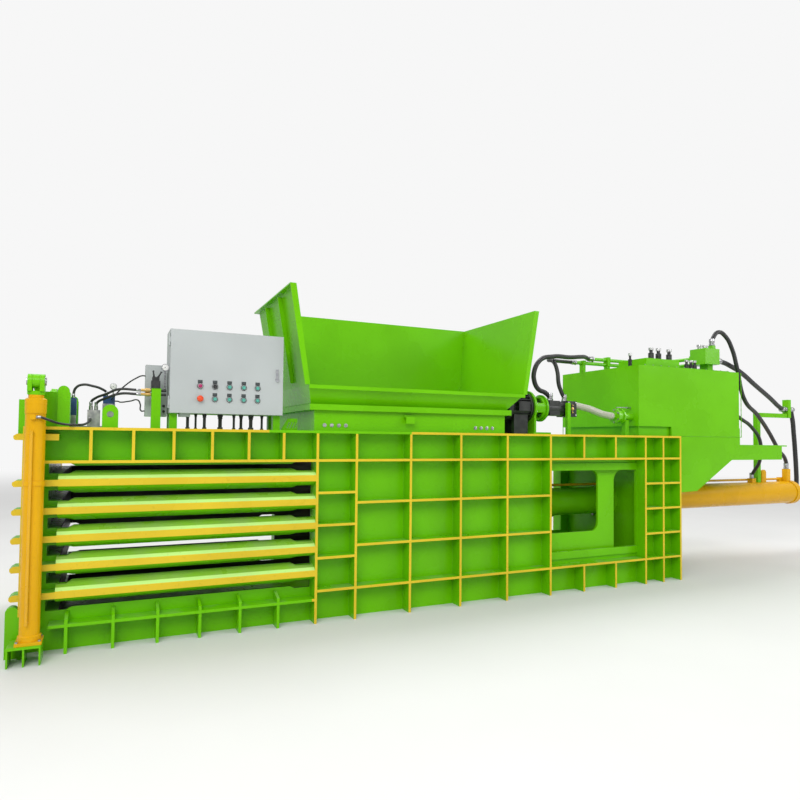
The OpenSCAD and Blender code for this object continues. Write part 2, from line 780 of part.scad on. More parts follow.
module bolt_head(r, h) {
    cylinder(h = h, r = r, $fn = 6);
}

module flange_bolts() {
    color(steel) {
        translate([flange_x, 0, main_z]) rotate([0, -90, 0]) for (i = [0:flange_bolt_n - 1])
            rotate(360 * i / flange_bolt_n) translate([flange_bolt_r, 0, 0])
                bolt_head(bolt_head_r, bolt_head_h);
        at_lifts() for (x = [-62, 62], y = [-62, 62]) translate([x, y, foot_z + 20]) bolt_head(9, 10);
        for (i = [0:tooth_n - 1])
            translate([feed_x0 + 24, (in_y - 2) * (2 * i + 1 - tooth_n) / tooth_n,
                fixed_blade_z + fixed_blade_t + bolster_h]) bolt_head(13, 10);
    }
}

module hopper_base() {
    color(green) {
        difference() {
            box([base_x0, base_y0, body_h], [base_x1, base_y1, ledge_z]);
            box([base_x0 + hopper_t, base_y0 + hopper_t, body_h - cut],
                [base_x1 - hopper_t, base_y1 - hopper_t, ledge_z + cut]);
        }
        difference() {
            box([ledge_x0, ledge_y0, ledge_z - 35], [ledge_x1, ledge_y1, ledge_z + ledge_t]);
            box([ledge_x0 + ledge_t, ledge_y0 + ledge_t, ledge_z - 35 - cut],
                [ledge_x1 - ledge_t, ledge_y1 - ledge_t, ledge_z]);
            box([funnel_x0 + hopper_t, foot_y0 + hopper_t, ledge_z - cut],
                [funnel_x1 - hopper_t, foot_back - hopper_t, ledge_z + ledge_t + cut]);
        }
        box([2690, base_y0 - 12, body_h + 115], [2770, base_y0, body_h + 145]);
        box([2690, base_y0 - 40, body_h + 115], [2702, base_y0 - 12, body_h + 127]);
        box([2758, base_y0 - 40, body_h + 115], [2770, base_y0 - 12, body_h + 127]);
        box([2690, base_y0 - 52, body_h + 70], [2770, base_y0 - 40, body_h + 127]);
    }
}

// Flat rectangle slab at height z
module slab(x0, x1, y0, y1, z) {
    box([x0, y0, z - 0.5], [x1, y1, z + 0.5]);
}

module hopper_funnel() {
    t = hopper_t;
    back = foot_back + (mouth_back - foot_back) * (lip_z - funnel_z0) / (mouth_z - funnel_z0);
    color(green) {
        difference() {
            union() {
                hull() {
                    slab(funnel_x0, funnel_x1, foot_y0, foot_back, funnel_z0 + 0.5);
                    slab(lip_x0, lip_x1, lip_y, back, lip_z);
                }
                hull() {
                    slab(lip_x0, lip_x1, lip_y, back, lip_z);
                    slab(mouth_x0, mouth_x1, lip_y, mouth_back, mouth_z);
                }
            }
            hull() {
                slab(funnel_x0 + t, funnel_x1 - t, foot_y0 + t, foot_back - t, funnel_z0 - cut);
                slab(lip_x0 + t, lip_x1 - t, lip_y + t, back - t, lip_z + cut);
            }
            hull() {
                slab(lip_x0 + t, lip_x1 - t, lip_y - 50, back - t, lip_z);
                slab(mouth_x0 + t, mouth_x1 - t, lip_y - 50, mouth_back - t, mouth_z + cut);
            }
        }
        hull() {
            slab(lip_x0 - 30, lip_x0 + t, lip_y, lip_y + t, lip_z);
            slab(mouth_x0 - 40, mouth_x0 + t, lip_y, lip_y + t, mouth_z);
        }
        hull() {
            slab(lip_x1 - t, lip_x1 + 30, lip_y, lip_y + t, lip_z);
            slab(mouth_x1 - t, mouth_x1 + 40, lip_y, lip_y + t, mouth_z);
        }
        for (y = [-300, 160]) hull() {
            slab(lip_x0 - 34, lip_x0 + t / 2, y, y + t, lip_z + 40);
            slab(mouth_x0 - 34, mouth_x0 + t / 2, y, y + t, mouth_z - 30);
        }
        for (y = [-70, 200]) hull() {
            slab(lip_x1 - t / 2, lip_x1 + 34, y, y + t, lip_z + 40);
            slab(mouth_x1 - t / 2, mouth_x1 + 34, y, y + t, mouth_z - 30);
        }
        box([lip_x0, lip_y - 12, lip_z - 30], [lip_x1, lip_y + t / 2, lip_z]);
        box([mouth_x0 - 40, lip_y, mouth_z - 10], [mouth_x0 + t / 2, mouth_back, mouth_z + 0.5]);
        box([mouth_x1 - t / 2, lip_y, mouth_z - 10], [mouth_x1 + 40, mouth_back, mouth_z + 0.5]);
        box([mouth_x0 - 40, mouth_back - t / 2, mouth_z - 10],
            [mouth_x1 + 40, mouth_back + 40, mouth_z + 0.5]);
    }
}

module tank_body() {
    w = tank_wall;
    color(green) {
        difference() {
            box([tank_x0, -tank_y, tank_z0], [tank_x1, tank_y, tank_z1]);
            box([tank_x0 + w, -tank_y + w, tank_z0 + w], [tank_x1 - w, tank_y - w, tank_z1 - w]);
        }
        difference() {
            box([tank_x0 + 24, -skirt_y, body_h], [tank_x1 - 18, skirt_y, tank_z0]);
            box([tank_x0 + 24 + w, w - skirt_y, body_h - cut],
                [tank_x1 - 18 - w, skirt_y - w, tank_z0 + cut]);
        }
        rod_x(tank_x1 - 1, tank_x1 + 42, -400, tank_z0 + 200, 32);
        rod_x(tank_x1 - 1, tank_x1 + 30, -400, tank_z0 + 440, 20);
    }
}

module tank_lid() {
    color(green) {
        box([5560, -540, tank_z1], [6880, 140, lid_z]);
        box([5610, -520, lid_z], [6100, -120, lid_z + lid_box_h]);
        box([6640, -450, lid_z], [6720, -340, lid_z + 75]);
    }
}

module tank_bracket() {
    color(green) {
        both_sides() xz_plate(-out_y, -in_y) polygon([[body_x1, body_h - 610], [6270, body_h - 595],
            [6834, arm_z0], [arm_x1, arm_z0], [arm_x1, arm_z1], [tank_x1 + 12, arm_z1], [tank_x1 + 12, tank_z0],
            [body_x1, tank_z0]]);
        box([tank_x1 + 12.3, -out_y, arm_z1 + 0.3], [7800, out_y, arm_z1 + 15]);
        box([tank_x1 - 8, -in_y, arm_z0], [tank_x1 + 12, in_y, tank_z0]);
        box([arm_x1 - 20, -in_y, arm_z0], [arm_x1, in_y, arm_z1]);
    }
}

module valve_block() {
    z0 = lid_z + 75;
    color(green) {
        box([6540, -500, z0], [6770, -290, z0 + 180]);
        box([6560, -290, z0], [6740, -262, z0 + 110]);
        rod_x(6770, 6820, -395, z0 + 60, 34);
        box([6750, -425, z0 + 180], [6800, -365, z0 + 232]);
    }
    color(steel) for (x = [6570, 6660]) translate([x, -395, z0 + 180]) {
        cylinder(h = 26, r = 22);
        translate([0, 0, 26]) cylinder(h = 22, r = 30);
    }
}

// Capped valve of height h standing on z
module capped_valve(x, y, z, h, r) {
    translate([x, y, z]) {
        cylinder(h = h * 0.55, r = r);
        translate([0, 0, h * 0.55]) cylinder(h = h * 0.25, r = r * 0.6);
        translate([0, 0, h * 0.8]) cylinder(h = h * 0.2, r = r * 0.9);
    }
}

module relief_valves() {
    color(dark) {
        for (x = [5780, 5890, 6050]) capped_valve(x, -425, lid_z + lid_box_h, 130, 30);
        for (x = [6330, 6400, 6460]) capped_valve(x, -420, lid_z, 110, 24);
        capped_valve(5500, -400, tank_z1, 150, 20);
    }
}

module motor_housing() {
    color(dark) {
        difference() {
            union() {
                rod_x(motor_x0, motor_x1, pump_y, pump_z, motor_r);
                rod_x(motor_x0, motor_x0 + 50, pump_y, pump_z, fin_r);
                rod_x(motor_x1 - 30, motor_x1, pump_y, pump_z, fin_r);
                for (i = [0:fin_n - 1]) translate([0, pump_y, pump_z]) rotate([360 * i / fin_n, 0, 0])
                    box([motor_x0 + 60, -2.5, motor_r - 6], [motor_x1 - 30, 2.5, fin_r - 2]);
            }
            rod_x(motor_x0 + 12, motor_x1 - 25, pump_y, pump_z, 105);
            rod_x(motor_x1 - 26, motor_x1 + cut, pump_y, pump_z, shaft_r + pin_gap);
        }
        for (y = [-1, 1])
            box([motor_x0 + 70, pump_y + y * 100 - 22, body_h], [motor_x1 - 60, pump_y + y * 100 + 22,
                pump_z - motor_r + 62]);
        box([motor_x0 + 90, pump_y - 180, pump_z - 40], [motor_x1 - 70, pump_y - motor_r + 8, pump_z + 50]);
    }
}

module bell_housing() {
    color(green) {
        difference() {
            union() {
                rod_x(motor_x1, motor_x1 + 22, pump_y, pump_z, bell_r);
                rod_x(motor_x1, bell_x1, pump_y, pump_z, 118);
                rod_x(bell_x1 - 18, bell_x1, pump_y, pump_z, 135);
                box([motor_x1, pump_y - 150, body_h + 20], [motor_x1 + 22, pump_y + 150, pump_z - 60]);
                box([motor_x1 - 40, pump_y - 190, body_h], [bell_x1 - 20, pump_y + 190, body_h + 20]);
            }
            rod_x(motor_x1 - cut, bell_x1 - 18, pump_y, pump_z, 100);
            rod_x(bell_x1 - 19, bell_x1 + cut, pump_y, pump_z, 60);
            for (a = [0, 90, 180, 270]) translate([0, pump_y, pump_z]) rotate([a + 45, 0, 0])
                box([motor_x1 + 55, -42, 60], [bell_x1 - 50, 42, 150]);
        }
    }
}

module pump_body() {
    color(dark) {
        difference() {
            union() {
                rod_x(bell_x1, bell_x1 + 25, pump_y, pump_z, 115);
                rod_x(bell_x1 + 25, pump_x1 - 130, pump_y, pump_z, 74);
                box([bell_x1 + 60, pump_y - 70, pump_z - 70], [bell_x1 + 190, pump_y + 70, pump_z + 80]);
                box([pump_x1 - 150, pump_y - 85, pump_z - 80], [pump_x1 - 30, pump_y + 85, pump_z + 80]);
                rod_x(pump_x1 - 30, pump_x1, pump_y, pump_z + 40, 40);
            }
            rod_x(bell_x1 - cut, bell_x1 + 60, pump_y, pump_z, shaft_r + pin_gap);
        }
    }
}

module motor_rotor() {
    color(steel) {
        rod_x(motor_x0 + 30, bell_x1 + 40, pump_y, pump_z, shaft_r);
        rod_x(motor_x0 + 30, motor_x0 + 45, pump_y, pump_z, 85);
        rod_x(motor_x0 + 80, motor_x1 - 45, pump_y, pump_z, 80);
        rod_x(motor_x1 + 60, motor_x1 + 105, pump_y, pump_z, 58);
        rod_x(motor_x1 + 105, motor_x1 + 112, pump_y, pump_z, 50);
        rod_x(motor_x1 + 112, motor_x1 + 155, pump_y, pump_z, 58);
    }
}

module suction_pipe() {
    color(steel) tube(route(suction_route, 26), 36, 12);
    color(green) {
        difference() {
            union() {
                rod_x(valve_x - 45, valve_x - 27, valve_y, valve_z, valve_r + 14);
                rod_x(valve_x - 26, valve_x + 26, valve_y, valve_z, valve_r);
                rod_x(valve_x - 45, valve_x + 45, valve_y, valve_z, 34);
                rod_x(valve_x + 27, valve_x + 45, valve_y, valve_z, valve_r + 14);
                translate([valve_x, valve_y, valve_z]) cylinder(h = valve_r + 26, r = 16);
            }
            translate([valve_x, valve_y, valve_z + valve_r]) cylinder(h = 40, r = 8 + pin_gap);
        }
        rod_x(valve_x + 45, tank_x0, valve_y, valve_z, 38);
    }
}

module suction_handle() {
    z = valve_z + valve_r + 26 + seat_gap;
    color(steel) {
        translate([valve_x, valve_y, valve_z + valve_r + 2]) cylinder(h = 30, r = 8);
        translate([0, 0, z]) linear_extrude(8) {
            translate([valve_x, valve_y]) circle(r = 16);
            rect([valve_x, valve_y - 9], [valve_x + 130, valve_y + 9]);
        }
        rod_x(valve_x + 120, valve_x + 175, valve_y, z + 4, 11);
    }
}

module oil_pipes() {
    color(yellow) {
        both_sides() tube(lift_pipe, 9, 10);
        tube(main_pipe, pipe_r, 10);
    }
    color(green) {
        tube(upper_pipe, 21, 10);
        tube(lower_pipe, 21, 10);
    }
}

module oil_hoses() {
    color(dark) {
        hose(lift_hose, 8);
        hose(rear_lift_hose, 8);
        hose(valve_hose_a, 9);
        hose(valve_hose_b, 9);
        hose(loop_hose, 9);
        hose(coil_cable, 5);
        hose(box_cable, 5);
        hose(pump_hose_a, 24);
        hose(pump_hose_b, 21);
        hose(tank_hose_a, 24);
        hose(tank_hose_b, 28);
        hose(mast_hose, 28);
        hose(return_hose, 21);
    }
}

module hose_mast() {
    h = mast_w / 2;
    color(green) {
        difference() {
            box([mast_x - h, -h, main_z + main_r - 20], [mast_x + h, h, mast_z]);
            rod_x(mast_x - h - cut, mast_x + h + cut, 0, main_z, main_r + seat_gap);
        }
        box([mast_x + h, -h, mast_z - 55], [8690, h, mast_z]);
        box([8690, -40, mast_z - 55], [8750, 40, mast_z + 190]);
    }
}

module cabinet_shell() {
    color(cream) difference() {
        box([cab_x0, shell_y0, cab_z0], [cab_x1, shell_y1, cab_z1]);
        box([cab_x0 + cab_t, shell_y0 - cut, cab_z0 + cab_t],
            [cab_x1 - cab_t, shell_y1 - cab_t, cab_z1 - cab_t]);
    }
    color(cream) {
        box([cab_x0 + 75, shell_y0 + 20, cab_z0 - 24], [cab_x0 + 150, shell_y0 + 110, cab_z0]);
        for (z = hinge_z) {
            translate([hinge_x, hinge_y, z - 45]) cylinder(h = 90, r = hinge_pin_r);
            for (a = [z - 45, z + 20 + seat_gap]) {
                translate([hinge_x, hinge_y, a]) cylinder(h = 25 - seat_gap, r = hinge_r);
                box([hinge_x - 3, hinge_y, a], [cab_x0 + 1, hinge_y + 24, a + 25 - seat_gap]);
            }
        }
    }
}

module cabinet_gear() {
    y = shell_y1 - cab_t;
    color(cream) {
        box([cab_x0 + 50, y - 12, cab_z0 + 40], [cab_x1 - 50, y, cab_z1 - 40]);
        for (x = [cab_x0 + 110:90:cab_x0 + 380]) box([x, y - 92, cab_z1 - 200], [x + 70, y - 12, cab_z1 - 100]);
        box([cab_x1 - 270, y - 112, cab_z1 - 220], [cab_x1 - 110, y - 12, cab_z1 - 90]);
        for (k = [0:2]) box([cab_x0 + 110 + k * 130, y - 102, cab_z0 + 190],
            [cab_x0 + 200 + k * 130, y - 12, cab_z0 + 320]);
        box([cab_x1 - 280, y - 82, cab_z0 + 190], [cab_x1 - 100, y - 12, cab_z0 + 330]);
        for (z = [110, 350]) box([cab_x0 + 70, y - 62, cab_z0 + z], [cab_x1 - 70, y - 12, cab_z0 + z + 35]);
    }
}

module cabinet_door() {
    w = cab_t;
    x0 = cab_x0 + 2;
    x1 = cab_x1 - 2;
    z0 = cab_z0 + 2;
    z1 = cab_z1 - 2;
    color(cream) difference() {
        union() {
            box([x0, door_y, z0], [x1, door_y + door_d, z1]);
            for (i = [2:4]) rod_y(button_x[i], door_y - collar_h, door_y + cut, top_row_z, collar_r);
            for (i = [1:4]) rod_y(button_x[i], door_y - collar_h, door_y + cut, low_row_z, collar_r);
            rod_y(button_x[0], door_y - collar_h, door_y + cut, low_row_z, 18);
            rod_y(button_x[1], door_y - collar_h, door_y + cut, top_row_z, collar_r);
            rod_y(button_x[0], door_y - 14, door_y + cut, top_row_z, collar_r - 1);
            for (z = hinge_z) {
                translate([hinge_x, hinge_y, z - 20]) cylinder(h = 40, r = hinge_r);
                box([hinge_x, hinge_y - hinge_r, z - 20], [x0 + cut, hinge_y - 1, z + 20]);
            }
        }
        box([x0 + w, door_y + w, z0 + w], [x1 - w, door_y + door_d + cut, z1 - w]);
        for (i = [2:4]) button_hole(button_x[i], top_row_z, button_r);
        for (i = [1:4]) button_hole(button_x[i], low_row_z, button_r);
        button_hole(button_x[0], low_row_z, 10);
        button_hole(button_x[1], top_row_z, 10);
        button_hole(lock_x, lock_z, 8);
        for (z = hinge_z) translate([hinge_x, hinge_y, z - 21]) cylinder(h = 42, r = hinge_pin_r + pin_gap);
    }
}

module button_hole(x, z, r) {
    rod_y(x, door_y - 20, door_y + 10, z, r + seat_gap);
}

module push_button(x, z) {
    color(teal) rod_y(x, door_y - collar_h - cap_h + 5, door_y + 12, z, button_r);
}

module push_button_1() { push_button(button_x[2], top_row_z); }
module push_button_2() { push_button(button_x[3], top_row_z); }
module push_button_3() { push_button(button_x[4], top_row_z); }
module push_button_4() { push_button(button_x[1], low_row_z); }
module push_button_5() { push_button(button_x[2], low_row_z); }
module push_button_6() { push_button(button_x[3], low_row_z); }
module push_button_7() { push_button(button_x[4], low_row_z); }

module stop_button() {
    y = door_y - collar_h - 8;
    color([0.85, 0.20, 0.05]) translate([button_x[0], y, low_row_z]) rotate([90, 0, 0]) {
        translate([0, 0, -26]) cylinder(h = 30, r = 10);
        rotate_extrude()
            polygon([[0, 0], [stop_r - 5, 0], [stop_r, 5], [stop_r, 12], [stop_r - 6, 18], [0, 21]]);
    }
}

module selector_knob() {
    y = door_y - collar_h - seat_gap;
    color(dark) {
        rod_y(button_x[1], y - 6, door_y + 12, top_row_z, 10);
        rod_y(button_x[1], y - 6, y, top_row_z, button_r + 1);
        box([button_x[1] - 5, y - 18, top_row_z - button_r], [button_x[1] + 5, y - 6, top_row_z + button_r]);
    }
}

module door_lock() {
    y = door_y - seat_gap;
    color(steel) {
        rod_y(lock_x, y - 14, door_y + 14, lock_z, 8);
        rod_y(lock_x, y - 14, y, lock_z, 15);
        box([lock_x - 9, y - 14, lock_z], [lock_x + 9, y - 4, lock_z + 80]);
        box([lock_x - 28, door_y + 5, lock_z - 8], [lock_x + 9, door_y + 11, lock_z + 8]);
    }
}

module deck_stands() {
    color(green) {
        for (x = [cab_x0 + 5, cab_x1 - 65], y = [shell_y0 + 30, shell_y1 - 90])
            box([x, y, body_h], [x + 55, y + 55, cab_z0]);
        box([post_x0, post_y - 28, body_h], [post_x1, post_y + 28, post_z]);
        box([710, term_y0 + 20, body_h], [770, term_y1 - 20, term_z0]);
        xz_plate(-532, -524) difference() {
            polygon([[1662, body_h], [1800, body_h], [1800, body_h + 96], [1720, body_h + 96]]);
            for (k = [0:3]) translate([1712 + 22 * k, body_h + 20]) rotate(-22) rect([0, 0], [8, 52]);
        }
        box([4635, -420, body_h], [4675, -385, pump_z + 60]);
        box([valve_x + 80, valve_y - 25, body_h], [valve_x + 130, valve_y + 25, valve_z - 38 - seat_gap]);
        for (clamp = [[5440, lower_pipe_z + 27], [5815, upper_pipe_z + 34]]) {
            x = clamp[0];
            z0 = lower_pipe_z - 21 - seat_gap;
            box([x, 270, tank_z1], [x + 40, 330, z0]);
            difference() {
                box([x, 262, z0], [x + 40, 338, clamp[1]]);
                for (z = [lower_pipe_z, upper_pipe_z]) rod_x(x - cut, x + 40 + cut, 300, z, 21 + seat_gap);
            }
        }
    }
}

module hand_valve() {
    color(dark) difference() {
        union() {
            box([post_x0 - 3, post_y - 32, post_z], [post_x1 - 6, post_y + 32, post_z + 55]);
            box([post_x0 + 4, post_y - 24, post_z + 55], [post_x1 - 12, post_y + 24, lever_z]);
        }
        for (x = [lever_left_x, lever_right_x])
            translate([x, post_y, lever_z]) rod_y(0, -12, 12, 0, drum_r + seat_gap);
    }
    color(steel) for (z = [port_z - 30, port_z]) {
        rod_x(630, post_x0, post_y, z, 11);
        rod_x(660, 690, post_y, z, 15);
        rod_x(post_x1, gauge_x + 11, post_y, z, 9);
    }
    color(steel) translate([gauge_x, post_y, port_z]) cylinder(h = 12, r = 8);
}

module hand_lever(x, lean) {
    color(dark) translate([x, post_y, lever_z]) {
        rod_y(0, -11, 11, 0, drum_r);
        rotate([0, lean, 0]) {
            cylinder(h = 40, r1 = 7, r2 = 4.5);
            translate([0, 0, 40]) cylinder(h = 8, r = 7);
        }
    }
}

module lever_left() { hand_lever(lever_left_x, -8); }
module lever_right() { hand_lever(lever_right_x, 28); }

module terminal_box() {
    color(cream) box([term_x0, term_y0, term_z0], [term_x1, term_y1, term_z1]);
}

module dial_gauge(x, y, z, r, stem_z) {
    translate([x, y, z]) rotate([90, 0, 0]) {
        cylinder(h = 14, r = r - 3);
        translate([0, 0, 14]) cylinder(h = 4, r = r);
        translate([0, 0, -12]) cylinder(h = 12, r = r);
    }
    translate([x, y, stem_z]) cylinder(h = z - r - stem_z + 6, r = 5);
}

module gauges() {
    color(steel) {
        dial_gauge(gauge_x, post_y, body_h + 446, 26, port_top_z);
        dial_gauge(450, -350, body_h + 308, 24, body_h + 235);
    }
}

module gate_manifold() {
    color(steel) {
        box([160, -480, body_h], [480, -300, body_h + 12]);
        box([285, -460, body_h + 12], [367, -390, body_h + 127]);
        for (x = [306, 340]) translate([x, -425, body_h + 127]) cylinder(h = 28, r = 13);
        rod_y(305, -470, -380, body_h + 60, 13);
        box([380, -380, body_h + 12], [465, -320, body_h + 178]);
        box([168, -345, body_h + 12], [208, -305, body_h + 90]);
    }
    color([0.1, 0.2, 0.5]) {
        box([383, -378, body_h + 178], [463, -322, body_h + 235]);
        box([166, -347, body_h + 90], [210, -303, body_h + 214]);
    }
}

module gate_plate() {
    pocket_n = 4;
    pocket_w = (2 * gate_y - 30) / pocket_n;
    color(green) {
        difference() {
            box([gate_x0, -gate_y, floor_z], [gate_x1, gate_y, gate_z1]);
            for (k = [0:slat_n])
                box([gate_x1 - groove_d, -gate_y - cut, slot_z0 + k * slat_pitch - flare_h / 2],
                    [gate_x1 + cut, gate_y + cut, slot_z0 + k * slat_pitch + flare_h / 2]);
            for (i = [0:pocket_n - 1], k = [0:slat_n])
                box([gate_x0 - cut, -gate_y + 30 + i * pocket_w, slot_z0 - 92 + k * slat_pitch],
                    [gate_x1 - groove_d - 25, -gate_y + (i + 1) * pocket_w, slot_z0 + 62 + k * slat_pitch]);
            box([gate_x0 + 25, -gate_y + 30, gate_z1 - 280], [gate_x1 - 25, gate_y - 30, gate_z1 - 25]);
        }
        both_sides() yz_bar(-eye_t / 2, eye_t / 2) difference() {
            union() {
                polygon([[-gate_y + 60, gate_z1 - 20], [-gate_y - 60, gate_z1 - 20],
                    [-lift_y + 45, pin_z - 40], [-lift_y, pin_z - 45], [-lift_y, pin_z + 45],
                    [-gate_y, pin_z + 45],
                    [-gate_y + 100, gate_z1]]);
                translate([-lift_y, pin_z]) circle(r = 45);
            }
            translate([-lift_y, pin_z]) circle(r = clevis_pin_d / 2 + pin_gap);
        }
    }
}

module lift_rods() {
    color(steel) at_lifts() rotate_extrude() polygon([[0, foot_z + 76], [lift_bore_r - pin_gap, foot_z + 76],
        [lift_bore_r - pin_gap, foot_z + 156], [lift_rod_r, foot_z + 156], [lift_rod_r, rod_top_z],
        [0, rod_top_z]]);
}

module rod_clevises() {
    color(yellow) at_lifts() {
        translate([0, 0, rod_top_z]) cylinder(h = fork_base_h, r = fork_w / 2);
        for (s = [-1, 1]) {
            x = s * (fork_gap + cheek_t) / 2;
            yz_bar(x - cheek_t / 2, x + cheek_t / 2) difference() {
                union() {
                    rect([-30, rod_top_z + 2], [30, rod_top_z + fork_base_h]);
                    rect([-fork_w / 2, rod_top_z + fork_base_h - 2], [fork_w / 2, pin_z]);
                    translate([0, pin_z]) circle(r = fork_w / 2);
                }
                translate([0, pin_z]) circle(r = clevis_pin_d / 2 + pin_gap);
            }
        }
    }
}

module clevis_pins() {
    l = fork_gap / 2 + cheek_t;
    color(steel) at_lifts() {
        rod_x(-l - 8, l + 8, 0, pin_z, clevis_pin_d / 2);
        for (x = [-l - 8, l + seat_gap]) rod_x(x, x + 8 - seat_gap, 0, pin_z, clevis_pin_d / 2 + 7);
    }
}

// Outline of a side plate of the ram
module ram_side_outline() {
    top = ram_z1 - cover_t;
    r = 120;
    difference() {
        union() {
            rect([ram_x0 + ram_face_t, ram_z0], [ram_post_x, top]);
            rect([ram_post_x - cut, win_z1], [ram_x0 + cover_l - 60, top]);
            difference() {
                rect([ram_post_x - cut, win_z1 - r], [ram_post_x + r, win_z1 + cut]);
                translate([ram_post_x + r, win_z1 - r]) circle(r = r);
            }
        }
        rounded_window(ram_x0 + 200, ram_post_x - 210, 540, win_z1, 80);
    }
}

module rounded_window(x0, x1, z0, z1, r) {
    rect([x0 + r, z0], [x1 - r, z1]);
    rect([x0, z0 + r], [x1, z1 - r]);
    for (x = [x0 + r, x1 - r], z = [z0 + r, z1 - r]) translate([x, z]) circle(r = r);
}

module ram_body() {
    color(green) {
        difference() {
            box([ram_x0, -ram_y, ram_z0], [ram_x0 + ram_face_t, ram_y, ram_z1 - cover_t]);
            for (k = [0:slat_n])
                box([ram_x0 - cut, -ram_y - cut, slot_z0 + k * slat_pitch - flare_h / 2],
                    [ram_x0 + groove_d, ram_y + cut,
                        min(slot_z0 + k * slat_pitch + flare_h / 2, ram_z1 - cover_t - 6)]);
        }
        box([ram_x0 + blade_w - 20, -ram_y, ram_z1 - cover_t], [ram_x0 + cover_l, ram_y, ram_z1]);
        box([ram_x0 + ram_face_t, -ram_side_y, ram_z0], [ram_post_x, ram_side_y, ram_z0 + plate_t]);
        both_sides() xz_plate(-ram_side_y, -ram_side_y + ram_side_t) ram_side_outline();
        rod_x(ram_x0 + ram_face_t, rod_x0, 0, main_z, main_rod_d / 2 + 45);
        for (z = [main_z - 110, main_z + 90])
            box([ram_x0 + ram_face_t, -ram_side_y, z], [ram_x0 + ram_face_t + 90, ram_side_y, z + plate_t]);
    }
}

module ram_blade() {
    x1 = ram_x0 + blade_w - 20;
    color(steel) translate([0, 0, ram_z1 - cover_t]) linear_extrude(cover_t)
        polygon(concat([for (p = teeth(-ram_y, ram_y, tooth_n, tooth_d)) [ram_x0 - 20 + p[1], p[0]]],
            [[x1, ram_y], [x1, -ram_y]]));
}

module ram_rod() {
    color(steel) translate([0, 0, main_z]) rotate([0, 90, 0]) rotate_extrude() polygon([
        [0, rod_x0], [main_rod_d / 2, rod_x0], [main_rod_d / 2, piston_x], [bore_r - pin_gap, piston_x],
        [bore_r - pin_gap, piston_x + piston_l], [0, piston_x + piston_l]]);
}

floor_frame();
side_plates();
rib_grids();
wire_slats();
deck_plate();
chamber_roof();
fixed_blade();
ram_guides();
gate_frame();
cylinder_feet();
lift_barrels();
lift_glands();
lifting_lugs();
mount_plate();
main_barrel();
main_gland();
flange_bolts();
hopper_base();
hopper_funnel();
tank_body();
tank_lid();
tank_bracket();
valve_block();
relief_valves();
motor_housing();
bell_housing();
pump_body();
suction_pipe();
oil_pipes();
oil_hoses();
hose_mast();
cabinet_shell();
cabinet_gear();
deck_stands();
hand_valve();
terminal_box();
gauges();
gate_manifold();
gate_plate();
lift_rods();
rod_clevises();
clevis_pins();
ram_body();
ram_blade();
ram_rod();
cabinet_door();
door_lock();
stop_button();
selector_knob();
push_button_1();
push_button_2();
push_button_3();
push_button_4();
push_button_5();
push_button_6();
push_button_7();
lever_left();
lever_right();
suction_handle();
motor_rotor();
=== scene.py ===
"""Finishes, small fittings, stage and camera of a horizontal closed-door baler."""
import math

import bmesh
import bpy
from mathutils import Matrix, Vector


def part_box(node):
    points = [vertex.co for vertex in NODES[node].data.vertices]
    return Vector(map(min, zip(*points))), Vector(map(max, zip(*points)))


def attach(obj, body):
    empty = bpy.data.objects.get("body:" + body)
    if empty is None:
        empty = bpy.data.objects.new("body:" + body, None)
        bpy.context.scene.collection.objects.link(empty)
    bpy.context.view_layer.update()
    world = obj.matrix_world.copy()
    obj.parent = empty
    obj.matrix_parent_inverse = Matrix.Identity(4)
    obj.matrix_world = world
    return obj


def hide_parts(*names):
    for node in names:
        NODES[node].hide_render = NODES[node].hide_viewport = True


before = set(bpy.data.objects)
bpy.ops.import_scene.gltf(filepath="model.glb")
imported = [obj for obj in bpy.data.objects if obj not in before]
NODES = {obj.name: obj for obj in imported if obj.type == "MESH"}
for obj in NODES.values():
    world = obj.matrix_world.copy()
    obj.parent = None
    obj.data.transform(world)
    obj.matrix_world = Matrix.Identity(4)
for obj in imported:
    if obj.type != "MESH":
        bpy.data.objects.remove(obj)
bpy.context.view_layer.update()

bl_info = {
    "name": "Baler dressing",
    "version": (1, 0, 0),
    "blender": (4, 5, 0),
    "location": "View3D > Sidebar > Baler",
    "description": "Paints the baler's parts and adds its fittings, stage and camera",
    "category": "Object",
}

# Faces of the machine that paint and fittings line up with, in metres
SIDE_Y = -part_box("side_plates")[0][1]
RIB_Y = -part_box("rib_grids")[0][1]
DECK_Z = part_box("side_plates")[1][2]
BODY_X1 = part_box("side_plates")[1][0]
SLOT_X1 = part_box("wire_slats")[1][0]
RAM_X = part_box("ram_body")[0][0] + 0.02
GATE_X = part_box("gate_plate")[1][0] - 0.005
BARREL_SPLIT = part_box("mount_plate")[0][0] + 0.04
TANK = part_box("tank_body")
LID_Z = TANK[1][2] + 0.015

# Control panel: front of the door, the columns of buttons and their two rows
DOOR_Y = -0.625
BUTTON_X = (1.032, 1.139, 1.245, 1.351, 1.456)
BUTTON_TOP = 1.818
BUTTON_LOW = 1.724

# Pump set: its axis over the deck and the front of the pump's flange
PUMP_Y = -0.3
PUMP_Z = 1.765
PUMP_FRONT = -0.385

# Suction valve: its axis and the outer faces of its two flanges
VALVE_Y = -0.5
VALVE_Z = 1.7
VALVE_X0 = 5.18
VALVE_X1 = 5.27

# Hopper's foot on the deck: front face and the two ends
FOOT_Y = -0.650
FOOT_X0 = 1.906
FOOT_X1 = 3.712

# Places where one part changes its finish
TANK_PIPES_Z = 2.2
SUCTION_PIPE_X1 = 5.15
NIPPLE_X1 = 0.6965
COIL_X0, COIL_Z0 = 0.37, 1.6785
SMALL_COIL_X1, SMALL_COIL_Z0 = 0.215, 1.5905
BLOCK_CAP_X1 = 6.72
CAP_ROW_X = (5.6, 6.2)
CAP_ROW_Z = (2.36, 2.439, 2.343)


# Sizes and colours

